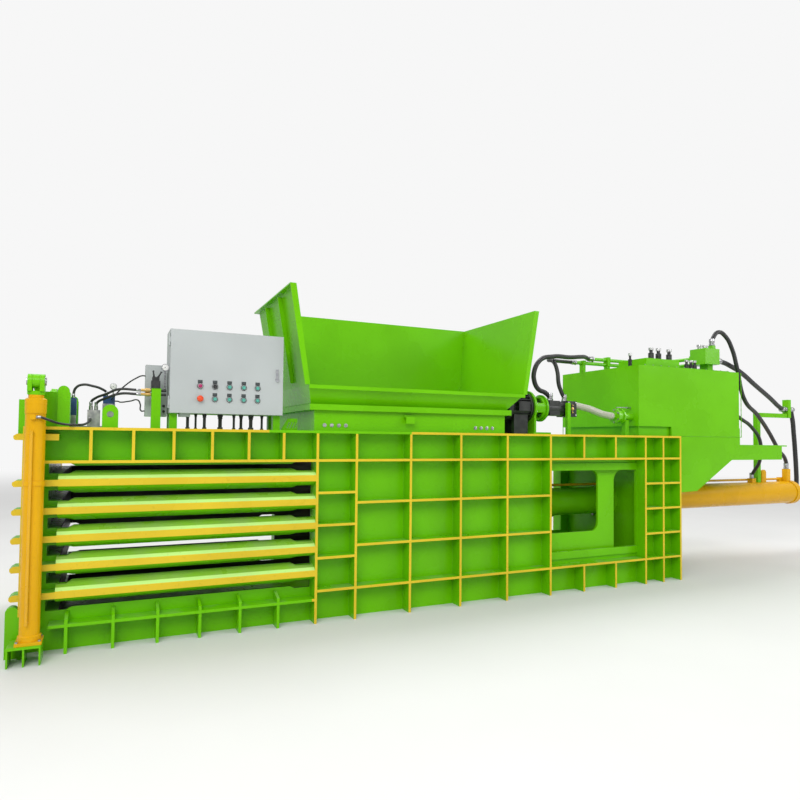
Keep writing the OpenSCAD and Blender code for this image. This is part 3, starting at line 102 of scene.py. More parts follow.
class BalerPaint(bpy.types.PropertyGroup):
    body: bpy.props.FloatVectorProperty(
        name="Body paint", description="Enamel on the frame, hopper and tank", subtype="COLOR",
        size=3, min=0, max=1, default=(0.142, 0.495, 0.001))
    accent: bpy.props.FloatVectorProperty(
        name="Cylinder paint", description="Enamel on the cylinders", subtype="COLOR",
        size=3, min=0, max=1, default=(0.70, 0.37, 0.003))
    edge: bpy.props.FloatVectorProperty(
        name="Edge paint", description="Enamel on the edges of ribs and slats", subtype="COLOR",
        size=3, min=0, max=1, default=(0.67, 0.49, 0.025))
    cabinet: bpy.props.FloatVectorProperty(
        name="Cabinet coating", description="Powder coating of the cabinet", subtype="COLOR",
        size=3, min=0, max=1, default=(0.43, 0.46, 0.455))
    gloss: bpy.props.FloatProperty(
        name="Paint roughness", description="Roughness of the enamel", subtype="FACTOR",
        min=0, max=1, default=0.27)
    ripple: bpy.props.FloatProperty(
        name="Orange peel", description="Depth of the ripple in sprayed paint", unit="LENGTH",
        min=0, max=0.01, default=0.0006)


class BalerFittings(bpy.types.PropertyGroup):
    bezel_r: bpy.props.FloatProperty(
        name="Bezel radius", description="Outer radius of a push button's ring", unit="LENGTH",
        min=0.012, max=0.03, default=0.0205)
    plate_w: bpy.props.FloatProperty(
        name="Label width", description="Width of the blank plate over a button", unit="LENGTH",
        min=0.01, max=0.06, default=0.034)
    ferrule: bpy.props.FloatProperty(
        name="Ferrule length", description="Length of a hose ferrule, in hose radii",
        min=1, max=8, default=3.4)
    bead_r: bpy.props.FloatProperty(
        name="Weld bead", description="Radius of a weld bead at its ripples", unit="LENGTH",
        min=0.001, max=0.01, default=0.005)
    bolt_r: bpy.props.FloatProperty(
        name="Bolt radius", description="Corner radius of a hopper bolt's head", unit="LENGTH",
        min=0.005, max=0.02, default=0.012)


class BalerStage(bpy.types.PropertyGroup):
    lens: bpy.props.FloatProperty(
        name="Lens", description="Focal length of the camera", subtype="DISTANCE_CAMERA",
        min=10, max=200, default=28.02)
    floor: bpy.props.FloatVectorProperty(
        name="Floor", description="Colour of the studio floor", subtype="COLOR",
        size=3, min=0, max=1, default=(0.70, 0.70, 0.69))
    key: bpy.props.FloatProperty(
        name="Key light", description="Power of the large soft lamp", unit="POWER",
        min=0, max=5000, default=610)
    fill: bpy.props.FloatProperty(
        name="Sky", description="Strength of the even light from all round",
        min=0, max=3, default=0.86)


# Shader maths on sockets

class Wire:
    """A shader socket that Python expressions can use."""

    def __init__(self, tree, socket=None):
        self.tree = tree
        self.socket = socket

    def node(self, kind, settings=None, inputs=None, out=0):
        """Adds a node, sets it up, feeds its sockets and returns one of its outputs."""
        new = self.tree.nodes.new(kind)
        for key, value in (settings or {}).items():
            setattr(new, key, value)
        for key, value in (inputs or {}).items():
            if isinstance(value, Wire):
                self.tree.links.new(value.socket, new.inputs[key])
            else:
                new.inputs[key].default_value = value
        return Wire(self.tree, new.outputs[out])

    def maths(self, operation, *values):
        return self.node("ShaderNodeMath", {"operation": operation}, dict(enumerate(values)))

    def __add__(self, other):
        return self.maths("ADD", self, other)

    __radd__ = __add__

    def __sub__(self, other):
        return self.maths("SUBTRACT", self, other)

    def __rsub__(self, other):
        return self.maths("SUBTRACT", other, self)

    def __mul__(self, other):
        return self.maths("MULTIPLY", self, other)

    __rmul__ = __mul__

    def __abs__(self):
        return self.maths("ABSOLUTE", self)

    def __gt__(self, other):
        return self.maths("GREATER_THAN", self, other)

    def __lt__(self, other):
        return self.maths("LESS_THAN", self, other)

    def __or__(self, other):
        return self.maths("MAXIMUM", self, other)

    def ramp(self, low, high):
        """0 below low, 1 above high, smooth between."""
        return self.node("ShaderNodeMapRange", {"interpolation_type": "SMOOTHSTEP"},
                         {"Value": self, "From Min": low, "From Max": high})

    def mix(self, low, high):
        """Colour low where this is 0 and high where it is 1."""
        feed = {0: self, 6: low if isinstance(low, Wire) else (*low, 1),
                7: high if isinstance(high, Wire) else (*high, 1)}
        return self.node("ShaderNodeMix", {"data_type": "RGBA"}, feed, out=2)

    def noise(self, scale, detail, stretch=(1, 1, 1)):
        """Noise on the piece's own coordinates, so that it stays put on the piece."""
        place = self.node("ShaderNodeTexCoord", out=3)
        turned = self.node("ShaderNodeMapping", None, {"Vector": place, "Scale": stretch})
        return self.node("ShaderNodeTexNoise", None,
                         {"Vector": turned, "Scale": scale, "Detail": detail})

    def axes(self):
        """X, Y and Z of the point, in metres."""
        place = self.node("ShaderNodeTexCoord", out=3)
        split = self.node("ShaderNodeSeparateXYZ", None, {"Vector": place})
        return [Wire(self.tree, s) for s in split.socket.node.outputs]

    def facing(self):
        """X, Y and Z of the surface's direction."""
        normal = self.node("ShaderNodeTexCoord", out=1)
        split = self.node("ShaderNodeSeparateXYZ", None, {"Vector": normal})
        return [Wire(self.tree, s) for s in split.socket.node.outputs]

    def bump(self, height, depth):
        """Surface direction of a height map that is this deep, in metres."""
        return self.node("ShaderNodeBump", None,
                         {"Height": height, "Distance": depth, "Strength": 1.0})


def material(name, build, **fixed):
    """A Principled material: build(wire) gives the linked sockets, fixed the plain ones."""
    done = bpy.data.materials.get(name)
    if done:
        return done
    made = bpy.data.materials.new(name)
    made.use_nodes = True
    tree = made.node_tree
    shader = tree.nodes["Principled BSDF"]
    for key, value in fixed.items():
        shader.inputs[key.replace("_", " ")].default_value = value
    for key, value in build(Wire(tree)).items():
        if isinstance(value, Wire):
            tree.links.new(value.socket, shader.inputs[key])
        else:
            shader.inputs[key].default_value = value
    return made


def paint_settings():
    """The colours and gloss that the panel shows."""
    return bpy.context.scene.baler_paint


def shade_of(colour, factor):
    """A plain colour made lighter or darker."""
    return tuple(min(1.0, c * factor) for c in colour)


def toned(wire, colour, factor):
    """The colour made lighter or darker, whether it is plain or linked."""
    if isinstance(colour, Wire):
        return wire.node("ShaderNodeVectorMath", {"operation": "SCALE"},
                         {0: colour, "Scale": factor})
    return shade_of(colour, factor)


def enamel(wire, colour, settings):
    """Sprayed enamel: cloudy tone, dust on what faces up, fine ripple."""
    cloud = wire.noise(1.7, 4).ramp(0.3, 0.7)
    speck = wire.noise(38, 2).ramp(0.62, 0.74)
    up = wire.facing()[2].ramp(0.6, 0.95)
    dust = up * wire.noise(5, 5).ramp(0.42, 0.7) * 0.22
    tone = cloud.mix(toned(wire, colour, 0.93), toned(wire, colour, 1.05))
    tone = (speck * 0.1).mix(tone, (0.03, 0.06, 0.01))
    tone = dust.mix(tone, (0.42, 0.40, 0.33))
    ripple = wire.noise(90, 2) + wire.noise(7, 2) * 2.2
    rough = cloud * 0.08 + dust * 0.6 + (settings.gloss - 0.03)
    return {"Base Color": tone, "Roughness": rough, "Normal": wire.bump(ripple, settings.ripple)}


# Sockets that all painted steel shares
ENAMEL = {"Specular_IOR_Level": 0.16, "Coat_Weight": 0.03, "Coat_Roughness": 0.08}


def green_paint():
    """Enamel of the body, the hopper and the tank."""
    s = paint_settings()
    return material("green_enamel", lambda w: enamel(w, tuple(s.body), s), **ENAMEL)


def yellow_paint():
    """Enamel of the lift cylinders."""
    s = paint_settings()
    return material("yellow_enamel", lambda w: enamel(w, tuple(s.accent), s), **ENAMEL)


def bare_plate_and_painted_shade(wire):
    """Worn plate of the chamber, painted near-black as painted shade of the closed chamber:
    scoured along the stroke, with brown stain.
    """
    scour = wire.noise(22, 4, (0.12, 1, 1)).ramp(0.35, 0.7)
    stain = wire.noise(3, 5).ramp(0.45, 0.7)
    # Painted shade: the base tone is near-black, far darker than bare steel, for the shade inside
    # the chamber; the scour and stain are wear
    tone = scour.mix((0.030, 0.029, 0.027), (0.085, 0.083, 0.078))
    return (stain * 0.5).mix(tone, (0.075, 0.045, 0.025))


def chamber_paint():
    """Green outside; inside, where the bale and the ram rub, near-black bare plate: part wear,
    part painted shade.
    """
    s = paint_settings()

    def build(w):
        x, y, z = w.axes()
        inside = (abs(y) < SIDE_Y - 0.0045) * (z < DECK_Z - 0.03) * (x < RAM_X) * (x > GATE_X)
        look = enamel(w, tuple(s.body), s)
        look["Base Color"] = inside.mix(look["Base Color"], bare_plate_and_painted_shade(w))
        look["Metallic"] = inside * 0.6
        look["Roughness"] = look["Roughness"] + inside * 0.2
        return look
    return material("chamber_enamel", build, **ENAMEL)


def grid_paint():
    """Green ribs whose outer edges are yellow, but not on the lower beam and by the hopper."""
    s = paint_settings()

    def build(w):
        x, y, z = w.axes()
        low_beam = (x < SLOT_X1 - 0.02) * (z < 0.27)
        deck_edge = (x > 1.53) * (x < 2.73) * (z > DECK_Z - 0.022)
        wobble = w.noise(9, 2) * 0.01
        edge = (abs(y) > RIB_Y - 0.0012) | (abs(y) + wobble > RIB_Y + 0.0005)
        colour = (edge * (1 - (low_beam | deck_edge))).mix(tuple(s.body), tuple(s.edge))
        return enamel(w, colour, s)
    return material("rib_enamel", build, **ENAMEL)


def slat_paint():
    """Green slats with a yellow front band; painted highlight: up-facing slopes paler, and the lip
    above the band paler still.
    """
    s = paint_settings()

    def build(w):
        y = w.axes()[1]
        band = abs(y) > RIB_Y - 0.004
        # Painted reflection and highlight: up-facing slopes are painted paler green for the sky's
        # reflection, and the lip next to the band is painted paler still as a highlight
        painted_highlight_facing = w.facing()[2].ramp(0.1, 0.5)
        colour = painted_highlight_facing.mix(tuple(s.body), (0.27, 0.55, 0.04))
        lip = (abs(y) > RIB_Y - 0.026) * painted_highlight_facing
        colour = lip.mix(colour, (0.50, 0.80, 0.22))
        colour = band.mix(colour, tuple(s.edge))
        return enamel(w, colour, s)
    return material("slat_enamel", build, **ENAMEL)


def barrel_paint():
    """Yellow behind the mounting flange, green in front of it."""
    s = paint_settings()

    def build(w):
        rear = w.axes()[0] > BARREL_SPLIT
        return enamel(w, rear.mix(tuple(s.body), tuple(s.accent)), s)
    return material("barrel_enamel", build, **ENAMEL)


def pipe_paint():
    """Rigid pipes: yellow on the cylinders, green on the tank."""
    s = paint_settings()

    def build(w):
        on_tank = w.axes()[2] > TANK_PIPES_Z
        return enamel(w, on_tank.mix(tuple(s.accent), tuple(s.body)), s)
    return material("pipe_enamel", build)


def suction_paint():
    """Pale pipe with a green valve."""
    s = paint_settings()

    def build(w):
        valve = w.axes()[0] > SUCTION_PIPE_X1
        return enamel(w, valve.mix((0.42, 0.42, 0.34), tuple(s.body)), s)
    return material("suction_enamel", build)


def powder_coat():
    """Pale powder coating with its fine grain."""
    s = paint_settings()

    def build(w):
        grain = w.noise(900, 2)
        cloud = w.noise(2, 3).ramp(0.3, 0.7)
        tone = cloud.mix(shade_of(s.cabinet, 0.96), shade_of(s.cabinet, 1.03))
        return {"Base Color": tone, "Roughness": cloud * 0.06 + 0.38,
                "Normal": w.bump(grain, 0.0002)}
    return material("powder_coat", build)


def black_paint():
    """Black machine enamel, a little uneven in gloss."""
    def build(w):
        cloud = w.noise(14, 4).ramp(0.35, 0.7)
        tone = cloud.mix((0.012, 0.013, 0.013), (0.035, 0.036, 0.035))
        return {"Base Color": tone, "Roughness": cloud * 0.2 + 0.35,
                "Normal": w.bump(w.noise(160, 2), 0.0003)}
    return material("black_enamel", build)


def brass():
    """Brass plugs, dulled in patches."""
    def build(w):
        cloud = w.noise(50, 3).ramp(0.35, 0.7)
        tone = cloud.mix((0.50, 0.33, 0.11), (0.66, 0.46, 0.18))
        return {"Base Color": tone, "Roughness": cloud * 0.12 + 0.25,
                "Normal": w.bump(w.noise(300, 2), 0.0001)}
    return material("brass", build, Metallic=1.0)


def weld_metal():
    """Painted weld: the body colour, with painted shade: darker in fine patches for the valleys
    between ripples.
    """
    s = paint_settings()

    def build(w):
        ripple = w.noise(240, 2).ramp(0.3, 0.7)
        # Painted shade: fine noise patches darken the body colour to three quarters for the
        # valleys between ripples
        tone = ripple.mix(shade_of(s.body, 0.75), shade_of(s.body, 1.05))
        return {"Base Color": tone, "Roughness": ripple * 0.1 + 0.3,
                "Normal": w.bump(w.noise(400, 2), 0.0004)}
    return material("painted_weld", build, **ENAMEL)


def turned_steel():
    """Bare steel with tool marks and some brown stain."""
    def build(w):
        scratch = w.noise(60, 3, (0.2, 1, 1)).ramp(0.3, 0.75)
        stain = w.noise(6, 4).ramp(0.55, 0.75)
        tone = scratch.mix((0.36, 0.36, 0.37), (0.56, 0.56, 0.57))
        tone = (stain * 0.35).mix(tone, (0.22, 0.17, 0.12))
        return {"Base Color": tone, "Roughness": scratch * 0.15 + stain * 0.2 + 0.24,
                "Normal": w.bump(scratch, 0.0002)}
    return material("turned_steel", build, Metallic=1.0)


def chrome_rod():
    """Hard chrome with faint streaks along its length."""
    def build(w):
        streak = w.noise(30, 3, (0.05, 1, 1)).ramp(0.4, 0.7)
        return {"Base Color": streak.mix((0.72, 0.73, 0.74), (0.82, 0.83, 0.84)),
                "Roughness": streak * 0.08 + 0.08}
    return material("chrome_rod", build, Metallic=1.0)


def hose_rubber():
    """Black rubber hose with the faint cloth print of its cover."""
    def build(w):
        weave = w.noise(260, 2)
        cloud = w.noise(4, 3).ramp(0.4, 0.7)
        tone = cloud.mix((0.012, 0.012, 0.013), (0.032, 0.031, 0.030))
        return {"Base Color": tone, "Roughness": cloud * 0.15 + 0.42,
                "Normal": w.bump(weave, 0.0006)}
    return material("hose_rubber", build)


def plastic(name, colour, rough):
    """Moulded plastic of one colour, with the slight mottle of the mould."""
    def build(w):
        cloud = w.noise(120, 2).ramp(0.3, 0.7)
        return {"Base Color": cloud.mix(shade_of(colour, 0.92), shade_of(colour, 1.06)),
                "Roughness": cloud * 0.06 + rough, "Normal": w.bump(w.noise(600, 2), 0.0001)}
    return material(name, build)


def station_metal():
    """The gate's valves: zinc blocks with blue coils."""
    def build(w):
        x, _, z = w.axes()
        coil = (x > COIL_X0) * (z > COIL_Z0) | (x < SMALL_COIL_X1) * (z > SMALL_COIL_Z0)
        cloud = w.noise(30, 3).ramp(0.35, 0.7)
        zinc = cloud.mix((0.30, 0.31, 0.30), (0.46, 0.46, 0.43))
        tone = coil.mix(zinc, (0.012, 0.05, 0.16))
        return {"Base Color": tone, "Metallic": 1 - coil, "Roughness": cloud * 0.15 + 0.3,
                "Normal": w.bump(w.noise(220, 2), 0.0002)}
    return material("station_metal", build)


def hand_valve_metal():
    """Black valve body with brass nipples."""
    def build(w):
        nipple = w.axes()[0] < NIPPLE_X1
        cloud = w.noise(40, 3).ramp(0.35, 0.7)
        black = cloud.mix((0.012, 0.013, 0.013), (0.03, 0.03, 0.03))
        tone = nipple.mix(black, (0.55, 0.37, 0.13))
        return {"Base Color": tone, "Metallic": nipple, "Roughness": cloud * 0.15 + 0.28,
                "Normal": w.bump(w.noise(200, 2), 0.0002)}
    return material("hand_valve_metal", build)


def block_metal():
    """Green valve block with plated screw caps on top."""
    s = paint_settings()
    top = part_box("valve_block")[1][2] - 0.052

    def build(w):
        x, _, z = w.axes()
        cap = (z > top) * (x < BLOCK_CAP_X1)
        look = enamel(w, tuple(s.body), s)
        look["Base Color"] = cap.mix(look["Base Color"], (0.62, 0.62, 0.60))
        look["Metallic"] = cap
        return look
    return material("block_metal", build)


def capped_metal():
    """Black valves whose caps are plated."""
    def build(w):
        x, _, z = w.axes()
        first, last = CAP_ROW_X
        low, middle, high = CAP_ROW_Z
        level = (x < first) * low + (x > first) * (x < last) * middle + (x > last) * high
        cap = z > level
        cloud = w.noise(40, 3).ramp(0.35, 0.7)
        black = cloud.mix((0.02, 0.02, 0.02), (0.05, 0.05, 0.05))
        tone = cap.mix(black, (0.72, 0.72, 0.70))
        return {"Base Color": tone, "Metallic": cap, "Roughness": cloud * 0.12 + 0.22}
    return material("capped_metal", build)


# Each finish: what makes it, and the parts of the machine that have it
FINISHES = {
    "frame": (green_paint, ("floor_frame", "deck_plate", "lifting_lugs", "hopper_base",
                            "hopper_funnel", "tank_body", "tank_lid", "tank_bracket",
                            "bell_housing", "hose_mast", "deck_stands", "cylinder_feet",
                            "rod_clevises", "ram_body")),
    "chamber": (chamber_paint, ("side_plates", "chamber_roof", "mount_plate", "gate_plate")),
    "grid": (grid_paint, ("rib_grids", "gate_frame")),
    "slats": (slat_paint, ("wire_slats",)),
    "cylinders": (yellow_paint, ("lift_barrels", "lift_glands")),
    "barrel": (barrel_paint, ("main_barrel",)),
    "pipes": (pipe_paint, ("oil_pipes",)),
    "suction": (suction_paint, ("suction_pipe",)),
    "cabinet": (powder_coat, ("cabinet_shell", "cabinet_door", "cabinet_gear", "terminal_box")),
    "black": (black_paint, ("motor_housing", "pump_body", "lever_left", "lever_right",
                            "selector_knob")),
    "steel": (turned_steel, ("fixed_blade", "ram_guides", "main_gland", "flange_bolts",
                             "clevis_pins", "ram_blade", "suction_handle", "motor_rotor",
                             "gauges")),
    "rods": (chrome_rod, ("lift_rods", "ram_rod", "door_lock")),
    "rubber": (hose_rubber, ("oil_hoses",)),
    "station": (station_metal, ("gate_manifold",)),
    "hand_valve": (hand_valve_metal, ("hand_valve",)),
    "block": (block_metal, ("valve_block",)),
    "caps": (capped_metal, ("relief_valves",)),
    "stop": (lambda: plastic("stop_red", (0.72, 0.07, 0.015), 0.25), ("stop_button",)),
    "buttons": (lambda: plastic("button_teal", (0.02, 0.22, 0.17), 0.22),
                tuple("push_button_%d" % i for i in range(1, 8))),
}


def put_material(obj, mat):
    """Gives all slots of a part the one material."""
    if not obj.material_slots:
        obj.data.materials.append(mat)
    for slot in obj.material_slots:
        slot.material = mat


# Mesh helpers

# Steps round a spun ring
RING_STEPS = 32

# Distance between the rings of a weld bead, and how much every other ring is narrower
BEAD_STEP = 0.03
BEAD_WAIST = 0.72


def finish_piece(bm, name, mat, body, smooth=40):
    """Turns a bmesh into a named piece that rides on a body, smooth below an angle in degrees."""
    bmesh.ops.remove_doubles(bm, verts=bm.verts, dist=1e-6)
    bmesh.ops.recalc_face_normals(bm, faces=bm.faces)
    mesh = bpy.data.meshes.new(name)
    bm.to_mesh(mesh)
    bm.free()
    mesh.materials.append(mat)
    mesh.shade_smooth()
    mesh.set_sharp_from_angle(angle=math.radians(smooth))
    piece = bpy.data.objects.new(name, mesh)
    bpy.context.scene.collection.objects.link(piece)
    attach(piece, body)


def aim(point, direction):
    """A matrix that takes +Z to direction and the origin to point."""
    turn = Vector(direction).normalized().to_track_quat("Z", "Y").to_matrix().to_4x4()
    return Matrix.Translation(point) @ turn


def add_disc(bm, place, r1, r2, z0, z1, sides=24):
    """A drum or cone from z0 to z1 along the placed Z axis, with broken edges."""
    middle = place @ Matrix.Translation((0, 0, (z0 + z1) / 2))
    made = bmesh.ops.create_cone(bm, cap_ends=True, segments=sides, radius1=r1, radius2=r2,
                                 depth=z1 - z0, matrix=middle)
    rims = {e for v in made["verts"] for e in v.link_edges if len(e.link_faces) == 2
            and e.calc_face_angle(0) > math.radians(50)}
    bmesh.ops.bevel(bm, geom=list(rims), offset=min(r1, r2, z1 - z0) * 0.12, segments=2,
                    profile=0.5, affect="EDGES", material=-1)


def add_hexagon(bm, place, r, height):
    """The head of a screw, standing on the placed plane."""
    add_disc(bm, place, r, r, 0.0, height, 6)


def add_bolt_circle(bm, middle, radius, count, way, r, height):
    """Screw heads on a circle round an axis along X; way is 1 or -1, where they look."""
    x, y, z = middle
    for k in range(count):
        turn = 2 * math.pi * (k + 0.5) / count
        spot = (x, y + radius * math.cos(turn), z + radius * math.sin(turn))
        add_hexagon(bm, aim(spot, (way, 0, 0)), r, height)


def add_ring(bm, place, inner, outer, height):
    """A round ring standing on the placed plane, spun from its section."""
    lip = height * 0.3
    section = [(inner, 0), (outer, 0), (outer, height - lip), (outer - lip, height),
               (inner + lip, height), (inner, height - lip)]
    verts = [bm.verts.new(place @ Vector((r, 0, z))) for r, z in section]
    edges = [bm.edges.new((verts[i], verts[(i + 1) % len(verts)])) for i in range(len(verts))]
    axis = (place.to_3x3() @ Vector((0, 0, 1))).normalized()
    bmesh.ops.spin(bm, geom=verts + edges, cent=place.translation, axis=axis, angle=2 * math.pi,
                   steps=RING_STEPS, use_merge=True)


def add_block(bm, low, high, bevel):
    """A box between two corners with broken edges."""
    low, high = Vector(low), Vector(high)
    made = bmesh.ops.create_cube(bm, size=1.0, matrix=Matrix.Translation((low + high) / 2)
                                 @ Matrix.Diagonal((*(high - low), 1)))
    edges = {e for v in made["verts"] for e in v.link_edges}
    bmesh.ops.bevel(bm, geom=list(edges), offset=bevel, segments=2, profile=0.5,
                    affect="EDGES", material=-1)


def add_mark(bm, middle, turn, out, size):
    """A tick or needle at this turn in degrees, so far out from a dial's middle."""
    spot = Matrix.Translation(middle) @ Matrix.Rotation(math.radians(turn), 4, "Y")
    bmesh.ops.create_cube(bm, size=1, matrix=spot @ Matrix.Translation((0, 0, out))
                          @ Matrix.Diagonal((*size, 1)))


def add_bead(bm, start, end, r):
    """A rippled weld bead between two points, extruded from a ring."""
    start, end = Vector(start), Vector(end)
    way = end - start
    count = max(2, round(way.length / BEAD_STEP))
    bead = bmesh.new()
    ring = bmesh.ops.create_circle(bead, cap_ends=True, segments=6, radius=r,
                                   matrix=aim(start, way))
    edges = list({e for v in ring["verts"] for e in v.link_edges})
    for k in range(count):
        grown = bmesh.ops.extrude_edge_only(bead, edges=edges)["geom"]
        verts = [g for g in grown if isinstance(g, bmesh.types.BMVert)]
        edges = [g for g in grown if isinstance(g, bmesh.types.BMEdge)]
        bmesh.ops.translate(bead, verts=verts, vec=way / count)
        middle = start + way * ((k + 1) / count)
        factor = BEAD_WAIST if k % 2 == 0 else 1 / BEAD_WAIST
        bmesh.ops.scale(bead, verts=verts, vec=(factor, factor, factor),
                        space=Matrix.Translation(-middle))
    bmesh.ops.edgeloop_fill(bead, edges=edges)
    mesh = bpy.data.meshes.new("bead")
    bead.to_mesh(mesh)
    bead.free()
    bm.from_mesh(mesh)
    bpy.data.meshes.remove(mesh)


# Operators

# Where the camera stands, its yaw, pitch and roll in degrees, and its shift upwards
CAMERA_PLACE = (0.437, -5.422, 1.441)
CAMERA_TURN = (24.93, 1.92, 0.57)
CAMERA_SHIFT = 0.0226


class BALER_OT_camera(bpy.types.Operator):
    """Places the camera at the photograph's angle"""
    bl_idname = "baler.camera"
    bl_label = "Camera"

    def execute(self, context):
        yaw, pitch, roll = (math.radians(a) for a in CAMERA_TURN)
        ahead = Vector((math.sin(yaw) * math.cos(pitch), math.cos(yaw) * math.cos(pitch),
                        math.sin(pitch)))
        level = Vector((math.cos(yaw), -math.sin(yaw), 0))
        rise = level.cross(ahead)
        right = math.cos(roll) * level + math.sin(roll) * rise
        up = -math.sin(roll) * level + math.cos(roll) * rise
        turn = Matrix((right, up, -ahead)).transposed().to_4x4()
        data = bpy.data.cameras.new("camera")
        data.lens = context.scene.baler_stage.lens
        data.sensor_width = 36
        data.shift_y = CAMERA_SHIFT
        data.clip_end = 500
        camera = bpy.data.objects.new("camera", data)
        camera.matrix_world = Matrix.Translation(CAMERA_PLACE) @ turn
        context.scene.collection.objects.link(camera)
        context.scene.camera = camera
        return {"FINISHED"}


class BALER_OT_paint(bpy.types.Operator):
    """Gives every part of the machine its finish"""
    bl_idname = "baler.paint"
    bl_label = "Paint"

    def execute(self, context):
        left = set(NODES)
        for make, names in FINISHES.values():
            mat = make()
            for name in names:
                put_material(NODES[name], mat)
                left.discard(name)
        if left:
            raise RuntimeError("no finish for " + ", ".join(sorted(left)))
        return {"FINISHED"}


# Radius and middle line of each hose and cable between two fittings of the machine
HOSES = {
    "front_lift_hose": (0.008, (
        (0.0095, -0.881, 1.557), (0.03, -0.881, 1.557), (0.072, -0.862, 1.542),
        (0.135, -0.8, 1.52), (0.225, -0.72, 1.514), (0.29, -0.58, 1.53), (0.305, -0.5, 1.56),
        (0.305, -0.4704, 1.56))),
    "rear_lift_hose": (0.008, (
        (0.0095, 0.881, 1.557), (0.03, 0.881, 1.557), (0.072, 0.862, 1.542), (0.135, 0.8, 1.52),
        (0.225, 0.72, 1.514), (0.29, 0.56, 1.514), (0.31, 0.2, 1.514), (0.31, -0.2, 1.52),
        (0.305, -0.345, 1.56), (0.305, -0.3796, 1.56))),
    "upper_valve_hose": (0.009, (
        (0.6296, -0.575, 1.775), (0.6, -0.575, 1.775), (0.48, -0.545, 1.775),
        (0.405, -0.505, 1.742), (0.335, -0.458, 1.712), (0.306, -0.425, 1.682),
        (0.306, -0.425, 1.6554))),
    "lower_valve_hose": (0.009, (
        (0.6296, -0.575, 1.745), (0.6, -0.575, 1.745), (0.495, -0.545, 1.745),
        (0.395, -0.495, 1.708), (0.35, -0.44, 1.685), (0.34, -0.425, 1.67),
        (0.34, -0.425, 1.6554))),
    "loop_hose": (0.009, (
        (0.188, -0.325, 1.7144), (0.188, -0.325, 1.74), (0.205, -0.345, 1.79),
        (0.25, -0.365, 1.812), (0.31, -0.37, 1.805), (0.375, -0.36, 1.785), (0.405, -0.35, 1.76),
        (0.405, -0.35, 1.7354))),
    "coil_cable": (0.005, (
        (0.4634, -0.35, 1.7), (0.48, -0.35, 1.7), (0.5, -0.385, 1.692), (0.565, -0.43, 1.7),
        (0.615, -0.45, 1.708), (0.632, -0.45, 1.68), (0.64, -0.44, 1.63), (0.6636, -0.44, 1.63))),
    "box_cable": (0.005, (
        (0.44, -0.3784, 1.71), (0.44, -0.392, 1.71), (0.465, -0.405, 1.745),
        (0.545, -0.415, 1.83), (0.6, -0.43, 1.87), (0.64, -0.44, 1.89), (0.6636, -0.44, 1.89))),
    "pressure_hose_1": (0.024, (
        (4.505, -0.3, 1.8454), (4.505, -0.3, 1.875), (4.45, -0.3, 1.925), (4.36, -0.3, 1.96),
        (4.31, -0.3, 2.04), (4.31, -0.3, 2.14), (4.4, -0.28, 2.26), (4.595, -0.22, 2.315),
        (4.97, -0.06, 2.35), (5.215, 0.06, 2.385), (5.44, 0.23, 2.415), (5.56, 0.3, 2.41),
        (5.6196, 0.3, 2.41))),
    "pressure_hose_2": (0.021, (
        (4.69, -0.3, 1.8454), (4.69, -0.3, 1.875), (4.655, -0.3, 1.94), (4.62, -0.3, 2.02),
        (4.61, -0.29, 2.15), (4.625, -0.22, 2.255), (4.68, -0.06, 2.3), (4.9, 0.1, 2.325),
        (5.2, 0.27, 2.35), (5.31, 0.3, 2.355), (5.3596, 0.3, 2.355))),
    "feed_hose": (0.024, (
        (6.775, -0.395, 2.5624), (6.775, -0.395, 2.59), (6.8, -0.395, 2.66),
        (6.895, -0.395, 2.7335), (7, -0.405, 2.685), (7.085, -0.425, 2.535), (7.135, -0.44, 2.35),
        (7.345, -0.375, 1.98), (7.805, -0.23, 1.78), (8.17, -0.12, 1.58), (8.45, -0.06, 1.35),
        (8.68, -0.008, 1.19), (8.695, 0, 1.12), (8.695, 0, 1.0904))),
    "arm_hose": (0.028, (
        (6.8204, -0.395, 2.39), (6.85, -0.395, 2.39), (7.005, -0.38, 2.378), (7.14, -0.36, 2.35),
        (7.345, -0.33, 2.295), (7.76, -0.23, 2.16), (8.22, -0.11, 2.02), (8.58, -0.012, 1.905),
        (8.65, 0, 1.89), (8.6896, 0, 1.89))),
    "mast_hose": (0.028, (
        (8.7504, 0, 1.89), (8.782, 0, 1.89), (8.83, 0, 1.79), (8.864, 0, 1.56), (8.89, 0, 1.3),
        (8.907, 0, 1.06), (8.909, 0, 0.89), (8.896, 0, 0.808), (8.866, 0, 0.78),
        (8.8304, 0, 0.78))),
    "return_hose": (0.021, (
        (7.0004, -0.4, 1.8), (7.035, -0.4, 1.8), (7.12, -0.397, 1.788), (7.265, -0.385, 1.73),
        (7.6, -0.3, 1.62), (7.85, -0.23, 1.44), (7.96, -0.14, 1.2), (7.998, -0.03, 1.06),
        (8, 0, 1.01), (8, 0, 0.9754))),
}


class BALER_OT_hoses(bpy.types.Operator):
    """Oil hoses and cables, bent smoothly between their fittings"""
    bl_idname = "baler.hoses"
    bl_label = "Hoses"

    def execute(self, context):
        for name, (radius, line) in HOSES.items():
            data = bpy.data.curves.new(name, "CURVE")
            data.dimensions = "3D"
            data.bevel_depth = radius
            data.bevel_resolution = 4
            data.resolution_u = 10
            data.render_resolution_u = 10
            data.use_fill_caps = True
            spline = data.splines.new("BEZIER")
            spline.bezier_points.add(len(line) - 1)
            for point, place in zip(spline.bezier_points, line):
                point.co = place
                point.handle_left_type = point.handle_right_type = "AUTO"
            data.materials.append(hose_rubber())
            hose = bpy.data.objects.new(name, data)
            context.scene.collection.objects.link(hose)
            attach(hose, "frame")
            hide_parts("oil_hoses")
        return {"FINISHED"}


